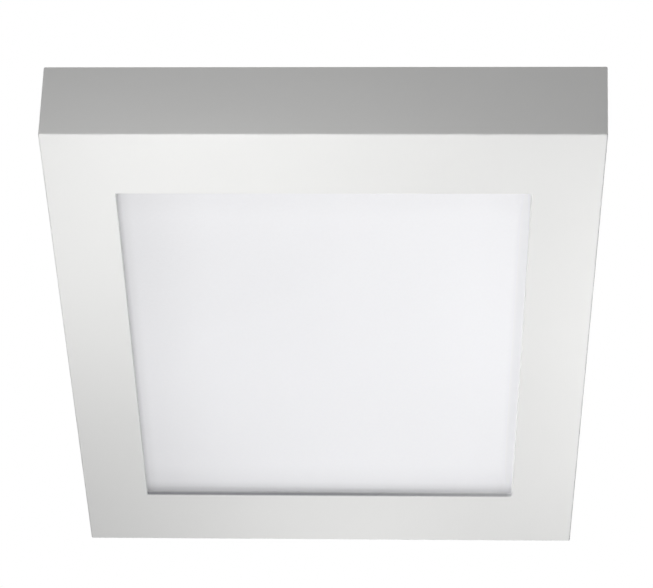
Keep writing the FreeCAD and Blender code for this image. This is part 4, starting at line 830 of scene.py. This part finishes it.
def lid_ribs():
    """Ribs on the wiring box's lid: a round-cornered frame, and three ridges across its finger tab."""
    hinge_reach, tab_reach, knuckle_rise = 4.1, 2.5, 0.4
    low, high, middle = box_mm("wiring_box_lid")
    front, back = low[1] + hinge_reach, high[1] - tab_reach
    top, sunk, proud = high[2] - knuckle_rise, 0.1, 0.35
    outer, inner, soft, corner = 3.0, 4.3, 0.12, 4.5
    rows = [
        (inner, top - sunk), (outer, top - sunk), (outer, top + proud - soft),
        (outer + soft, top + proud), (inner - soft, top + proud), (inner, top + proud - soft),
    ]
    rib = rounded_rows((high[0] - low[0]) / 2, (back - front) / 2, corner, rows)
    ribs = Shape().ring(rib + np.array([middle[0], (front + back) / 2, 0.0]))
    half_length, half_width, ridge_corner, ridge_rise, from_edge, spacing = 4.6, 0.25, 0.2, 0.25, 0.55, 0.75
    ridge_block = low_block(half_length, half_width, ridge_corner, top - sunk, top + ridge_rise, soft)
    for step in range(3):
        ribs.solid(ridge_block + np.array([middle[0], high[1] - from_edge - spacing * step, 0.0]))
    ribs.piece("box_lid_ribs", "box_lid", "wiring_box_grey")


def knockouts():
    """Two round break-out covers beside the supply cable's inlet, each a flat disc inside a raised bead."""
    low, _, _ = box_mm("wiring_box")
    _, _, inlet = box_mm("supply_grommet")
    aside, radius, width, proud, sunk, soft = 11.4, 3.4, 0.8, 0.3, 0.1, 0.12
    bead = [
        (radius - width, -sunk), (radius, -sunk), (radius, proud - soft), (radius - soft, proud),
        (radius - width + soft, proud), (radius - width, proud - soft),
    ]
    edge, rise = radius - 1.3, 0.18
    disc = [(0, -sunk), (edge, -sunk), (edge, 0.1), (edge - soft, rise), (0, rise)]
    outwards = np.array([-1.0, 1.0, 1.0])
    covers = Shape()
    for y in (inlet[1] - aside, inlet[1] + aside):
        place = np.array([low[0], y, inlet[2]])
        covers.ring((laid_along_x(lathed(bead)) * outwards + place)[:, ::-1])
        covers.solid((laid_along_x(lathed(disc)) * outwards + place)[:, ::-1])
    covers.piece("box_knockouts", "lamp", "wiring_box_grey")


def terminal_details():
    """Ribs between the poles on the terminal block's top, and a flared mouth round each wire way."""
    low, high, middle = box_mm("terminal_block")
    pitch, poles, way, way_level, sunk = 6.5, (-1, 0, 1), 1.7, 5.0, 0.1
    from_end, half_width, corner, rise, soft = 0.4, 0.45, 0.3, 0.6, 0.2
    half_length = (high[0] - low[0]) / 2 - from_end
    rib = low_block(half_length, half_width, corner, high[2] - sunk, high[2] + rise, soft)
    details = Shape()
    for gap in (-1.5, -0.5, 0.5, 1.5):
        details.solid(rib + np.array([middle[0], middle[1] + gap * pitch, 0.0]))
    inner, outer, flare, chamfer = way + 0.55, way + 1.15, 0.6, 0.2
    mouth = [(way, sunk), (inner, -flare), (outer - chamfer, -flare), (outer, chamfer - flare)]
    mouth += [(outer, sunk)]
    for pole in poles:
        place = np.array([low[0], middle[1] + pole * pitch, low[2] + way_level])
        details.ring(laid_along_x(lathed(mouth)) + place)
    details.piece("terminal_ribs_and_mouths", "lamp", "terminal_white")


def cover_beads():
    """The back cover's two stiffening beads as pressed in the sheet: round corners, and flanks that rise as
    half a cosine wave. One lies under the strap, the other midway between the driver and the screws."""
    _, high, _ = box_mm("back_cover")
    _, driver_edge, _ = box_mm("driver_case")
    _, screws_edge, _ = box_mm("cover_screws")
    half_length, half_width, corner, rise, flank, proud, sunk = 50.6, 4.6, 2.0, 1.2, 1.1, 0.03, 0.1
    base = high[2] - rise
    share = np.linspace(0.0, 1.0, 9)
    swell = (1 - np.cos(np.pi * share)) / 2
    rows = [(half_width, base - sunk), (0.0, base - sunk)]
    rows += list(zip(flank * share, base + (rise + proud) * swell))
    rows += [(half_width, high[2] + proud)]
    bead = rounded_rows(half_length + flank, half_width + flank, corner + flank, rows)
    beads = Shape()
    for y in (0.0, (driver_edge[1] + screws_edge[1] - 2 * COVER_HEAD) / 2):
        beads.solid(bead + np.array([0.0, y, 0.0]))
    beads.piece("cover_beads", "lamp", "galvanised_steel")


# The leads under a saddle: half its slot's width, the leads' radius, and their level over the cover
CORES, STRIP_LEADS, WIDE_LEADS = (2.85, 1.0, 2.0), (1.6, 0.7, 1.7), (2.05, 0.7, 1.7)


def saddles():
    """Saddles over the leads. Each is a foot and a round-shouldered arch, whose slot has flared ends."""
    low, high, _ = box_mm("lead_clips")
    wall, roof, fit, half_length, shoulder, flare, soft = 1.6, 0.8, 0.1, 3.0, 1.3, 0.3, 0.1
    foot_reach, foot_corner, foot_height, foot_soft = 1.0, 0.8, 0.6, 0.15
    core_x, lane_y = high[0] - CORES[0] - wall, low[1] + STRIP_LEADS[0] + wall

    # Half the arch's rows: the place along the leads, whether the row follows the slot, and its growth
    ahead = [
        (half_length - 0.35, False, 0.0), (half_length - soft, False, -soft), (half_length, False, -flare),
        (half_length, True, flare), (half_length - flare, True, 0.0),
    ]
    behind = [(-place, around_slot, growth) for place, around_slot, growth in reversed(ahead)]
    shape = Shape()
    for x, y, turn, (half_slot, radius, level) in (
        (-31.0, lane_y, 0.0, STRIP_LEADS),
        (31.0, lane_y, 0.0, STRIP_LEADS),
        (core_x, -12.0, math.pi / 2, CORES),
        (core_x, 12.0, math.pi / 2, CORES),
        (-core_x, -42.0, math.pi / 2, WIDE_LEADS),
    ):
        bore = radius + fit
        top = level + bore + roof
        arch = []
        for place, around_slot, growth in behind + ahead:
            if around_slot:
                half_a, half_b, corner, centre = half_slot, bore, bore * 0.96, level
            else:
                half_a, half_b, corner, centre = half_slot + wall, top / 2, shoulder, top / 2
            across, upwards = outline(half_a + growth, half_b + growth, corner + growth, per_corner=6)
            arch.append(np.stack([0 * across + place, across, upwards + centre], axis=-1))
        foot_width = half_slot + wall + foot_reach
        foot = low_block(half_length, foot_width, foot_corner, 0.0, foot_height, foot_soft)
        shape.ring(stood(np.array(arch), (x, y, low[2]), turn))
        shape.solid(stood(foot, (x, y, low[2]), turn))
    shape.piece("lead_saddles", "lamp", "connector_white", ["lead_clips"])


# How the driver's plug fits the strips' socket: its nose, the nose's inset, and the inset of the end faces
NOSE, NOSE_INSET, CORE = 5.0, 1.0, 2.4


def grip(start):
    """Rows of inset and place for three shallow grip grooves."""
    spacing, depth = 1.4, 0.28
    rows = []
    for place in start + spacing * np.arange(3):
        rows += [(0.0, place), (depth, place + spacing * 0.2)]
        rows += [(depth, place + spacing * 0.5), (0.0, place + spacing * 0.7)]
    return rows


def connector_body(low, high, rows):
    """A round-cornered body along y, from rows of inset and place."""
    corner = 0.5
    half_x, half_z = (high[0] - low[0]) / 2, (high[2] - low[2]) / 2
    middle = np.array([(low[0] + high[0]) / 2, 0.0, (low[2] + high[2]) / 2])
    return laid_along_y(rounded_rows(half_x, half_z, corner, rows, per_corner=3)) + middle


def driver_plug():
    """The driver's plug: a nose, a body with grip grooves and a latch arm on top."""
    low, high, middle = box_mm("driver_plug")
    x, top, shoulder, soft, back_edge, corner = middle[0], high[2], low[1] + NOSE, 0.2, 0.3, 0.12
    rows = [(CORE, low[1]), (NOSE_INSET + soft, low[1]), (NOSE_INSET, low[1] + soft)]
    rows += [(NOSE_INSET, shoulder), (soft, shoulder), (0.0, shoulder + soft)] + grip(shoulder + 6.5)
    rows += [(0.0, high[1] - back_edge), (back_edge, high[1]), (CORE, high[1])]
    plug = Shape().solid(connector_body(low, high, rows))

    # The arm's sections: place behind the shoulder, rise over the top, and half sizes
    arm = [
        (-4.2, 0.45, 1.2, 0.35), (-4.2, 0.45, 1.2, 0.35), (-3.2, 0.55, 1.3, 0.45), (-3.1, 0.75, 1.3, 0.25),
        (1.6, 0.75, 1.3, 0.25), (2.0, 0.45, 1.3, 0.55), (3.2, 0.45, 1.3, 0.55), (3.6, 0.75, 1.3, 0.25),
        (5.6, 0.95, 1.6, 0.28), (7.6, 1.35, 1.7, 0.3), (7.9, 1.4, 1.6, 0.2), (7.9, 1.4, 1.6, 0.2),
    ]
    plug.solid(lofted([(shoulder + y, x, top + rise, *half, corner) for y, rise, *half in arm]))
    plug.piece("driver_plug_moulding", "lamp", "connector_white", ["driver_plug"])


def strip_socket():
    """The strips' socket: a body with grip grooves, a collar round the plug's nose and a catch on top."""
    low, high, middle = box_mm("strip_socket")
    shoulder = box_mm("driver_plug")[0][1] + NOSE
    x, top, corner, waist, collar, catch_half, play = middle[0], high[2], 0.1, 0.35, 1.6, 1.6, 0.1
    back_edge, front_edge, grip_from, grip_end, slope = 0.3, 0.2, low[1] + 1.2, low[1] + 6.0, 0.4
    mouth, deep = NOSE_INSET - play, shoulder - NOSE - play
    rows = [(CORE, low[1]), (back_edge, low[1]), (0.0, low[1] + back_edge)] + grip(grip_from)
    rows += [(0.0, grip_end), (waist, grip_end + slope), (waist, high[1] - collar)]
    rows += [(0.0, high[1] - collar + front_edge), (0.0, high[1] - front_edge), (front_edge, high[1])]
    rows += [(mouth, high[1]), (mouth, deep), (CORE, deep)]
    socket = Shape().solid(connector_body(low, high, rows))

    # The catch's sections: place before the shoulder, depth under the top, and half its height
    catch = [(3.0, 0.2, 0.3), (3.0, 0.2, 0.3), (2.4, 0.05, 0.35), (1.0, 0.2, 0.3), (1.0, 0.2, 0.3)]
    sections = [(shoulder - y, x, top - under, catch_half, half, corner) for y, under, half in catch]
    socket.solid(lofted(sections))
    socket.piece("strip_socket_moulding", "lamp", "connector_white", ["strip_socket"])


cover_screws()
clamp_screws()
studs_and_nuts()
rivets()
rubber_rings()
foam()
driver_cap()
lid_ribs()
knockouts()
terminal_details()
cover_beads()
saddles()
driver_plug()
strip_socket()


# Stage, light and camera

def floor():
    """A pale floor far below the lamp. It looks brighter than the light it throws back."""
    half, level = 6.0, -1.6
    mesh = bpy.data.meshes.new("floor")
    corners = [(-half, -half, level), (half, -half, level), (half, half, level), (-half, half, level)]
    mesh.from_pydata(corners, [], [(0, 1, 2, 3)])
    piece = new_object("floor", mesh)
    finish = Finish("pale floor", (0.42, 0.42, 0.42), 0.9)
    seen = finish.add("LightPath").outputs["Is Camera Ray"]
    finish.glow((1.0, 1.0, 1.0), finish.maths("MULTIPLY", seen, 0.46))
    mesh.materials.append(finish.mottled(0.8, 0.02).material)


def shine(light, direction):
    """Put a light in the scene and point it in that direction."""
    source = new_object(light.name, light)
    source.rotation_mode = "QUATERNION"
    source.rotation_quaternion = direction.to_track_quat("-Z", "Y")
    return source


def softbox(name, place, aim, side, power):
    """A soft square light that the camera doesn't see."""
    light = bpy.data.lights.new(name, "AREA")
    light.shape = "SQUARE"
    light.size = side
    light.energy = power
    source = shine(light, Vector(aim) - Vector(place))
    source.location = place
    source.visible_camera = False


def sun(direction, angle, strength):
    """Wide, even light from that direction."""
    light = bpy.data.lights.new("sky", "SUN")
    light.energy = strength
    light.angle = math.radians(angle)
    shine(light, -Vector(direction))


def surroundings(seen, mirrored, lighting):
    """White all round as the camera sees it, pale grey in glossy surfaces, and dimmer as a light."""
    world = bpy.data.worlds.new("surroundings")
    bpy.context.scene.world = world
    world.use_nodes = True
    tree = world.node_tree
    background = tree.nodes["Background"]
    background.inputs["Color"].default_value = (1.0, 1.0, 1.0, 1.0)
    ray = tree.nodes.new("ShaderNodeLightPath")
    strength = background.inputs["Strength"]
    # Each kind of ray has its own strength, and leaves the others to the next choice
    for kind, value in (("Is Camera Ray", seen), ("Is Glossy Ray", mirrored)):
        choice = tree.nodes.new("ShaderNodeMapRange")
        tree.links.new(ray.outputs[kind], choice.inputs["Value"])
        choice.inputs["To Min"].default_value = lighting
        choice.inputs["To Max"].default_value = value
        tree.links.new(choice.outputs["Result"], strength)
        strength = choice.inputs["To Min"]


def camera():
    """The view from below and in front, fitted to the frame's corners at its real size."""
    yaw, pitch, roll = math.radians(2.675), math.radians(52.495), math.radians(2.27)
    distance, aside, above = 0.5972, 0.00118, 0.00157
    forward = Vector((-math.sin(yaw) * math.cos(pitch), math.cos(yaw) * math.cos(pitch), math.sin(pitch)))
    level = Vector((math.cos(yaw), math.sin(yaw), 0.0))
    upright = level.cross(forward)
    right = math.cos(roll) * level + math.sin(roll) * upright
    up = -math.sin(roll) * level + math.cos(roll) * upright
    data = bpy.data.cameras.new("view")
    data.sensor_width, data.lens = 36.0, 98.61
    data.clip_start, data.clip_end = 0.01, 50.0
    view = new_object("view", data)
    view.location = -distance * (forward + aside * right + above * up)
    turn = Matrix((right, up, -forward)).transposed()
    view.rotation_mode = "QUATERNION"
    view.rotation_quaternion = turn.to_quaternion()
    bpy.context.scene.camera = view


# Small softboxes near the lit face, each for a pool of light on it: place in metres, power in watts

POOL_SIDE = 0.08
POOLS = {
    "right": ((0.22, 0.0, -0.14), 0.2295),
    "near_middle": ((-0.04, -0.12, -0.18), 0.1338),
    "left": ((-0.09, -0.02, -0.10), 0.0108),
    "far": ((0.0, 0.12, -0.12), 0.0285),
    "far_right": ((0.16, 0.16, -0.14), 0.0055),
}

floor()
surroundings(seen=1.0, mirrored=0.45, lighting=0.145)
sun(direction=(0.25, 0.6, 1.0), angle=105, strength=2.6)
softbox("front_left", (-0.8, -1.0, -0.05), (0, 0, 0), 0.6, 1.86)
for name, (place, power) in POOLS.items():
    aim = (place[0] / 2, place[1] / 2, -0.03)
    softbox(name, place, aim, POOL_SIDE, power)
camera()
bpy.context.scene.view_settings.view_transform = "Standard"
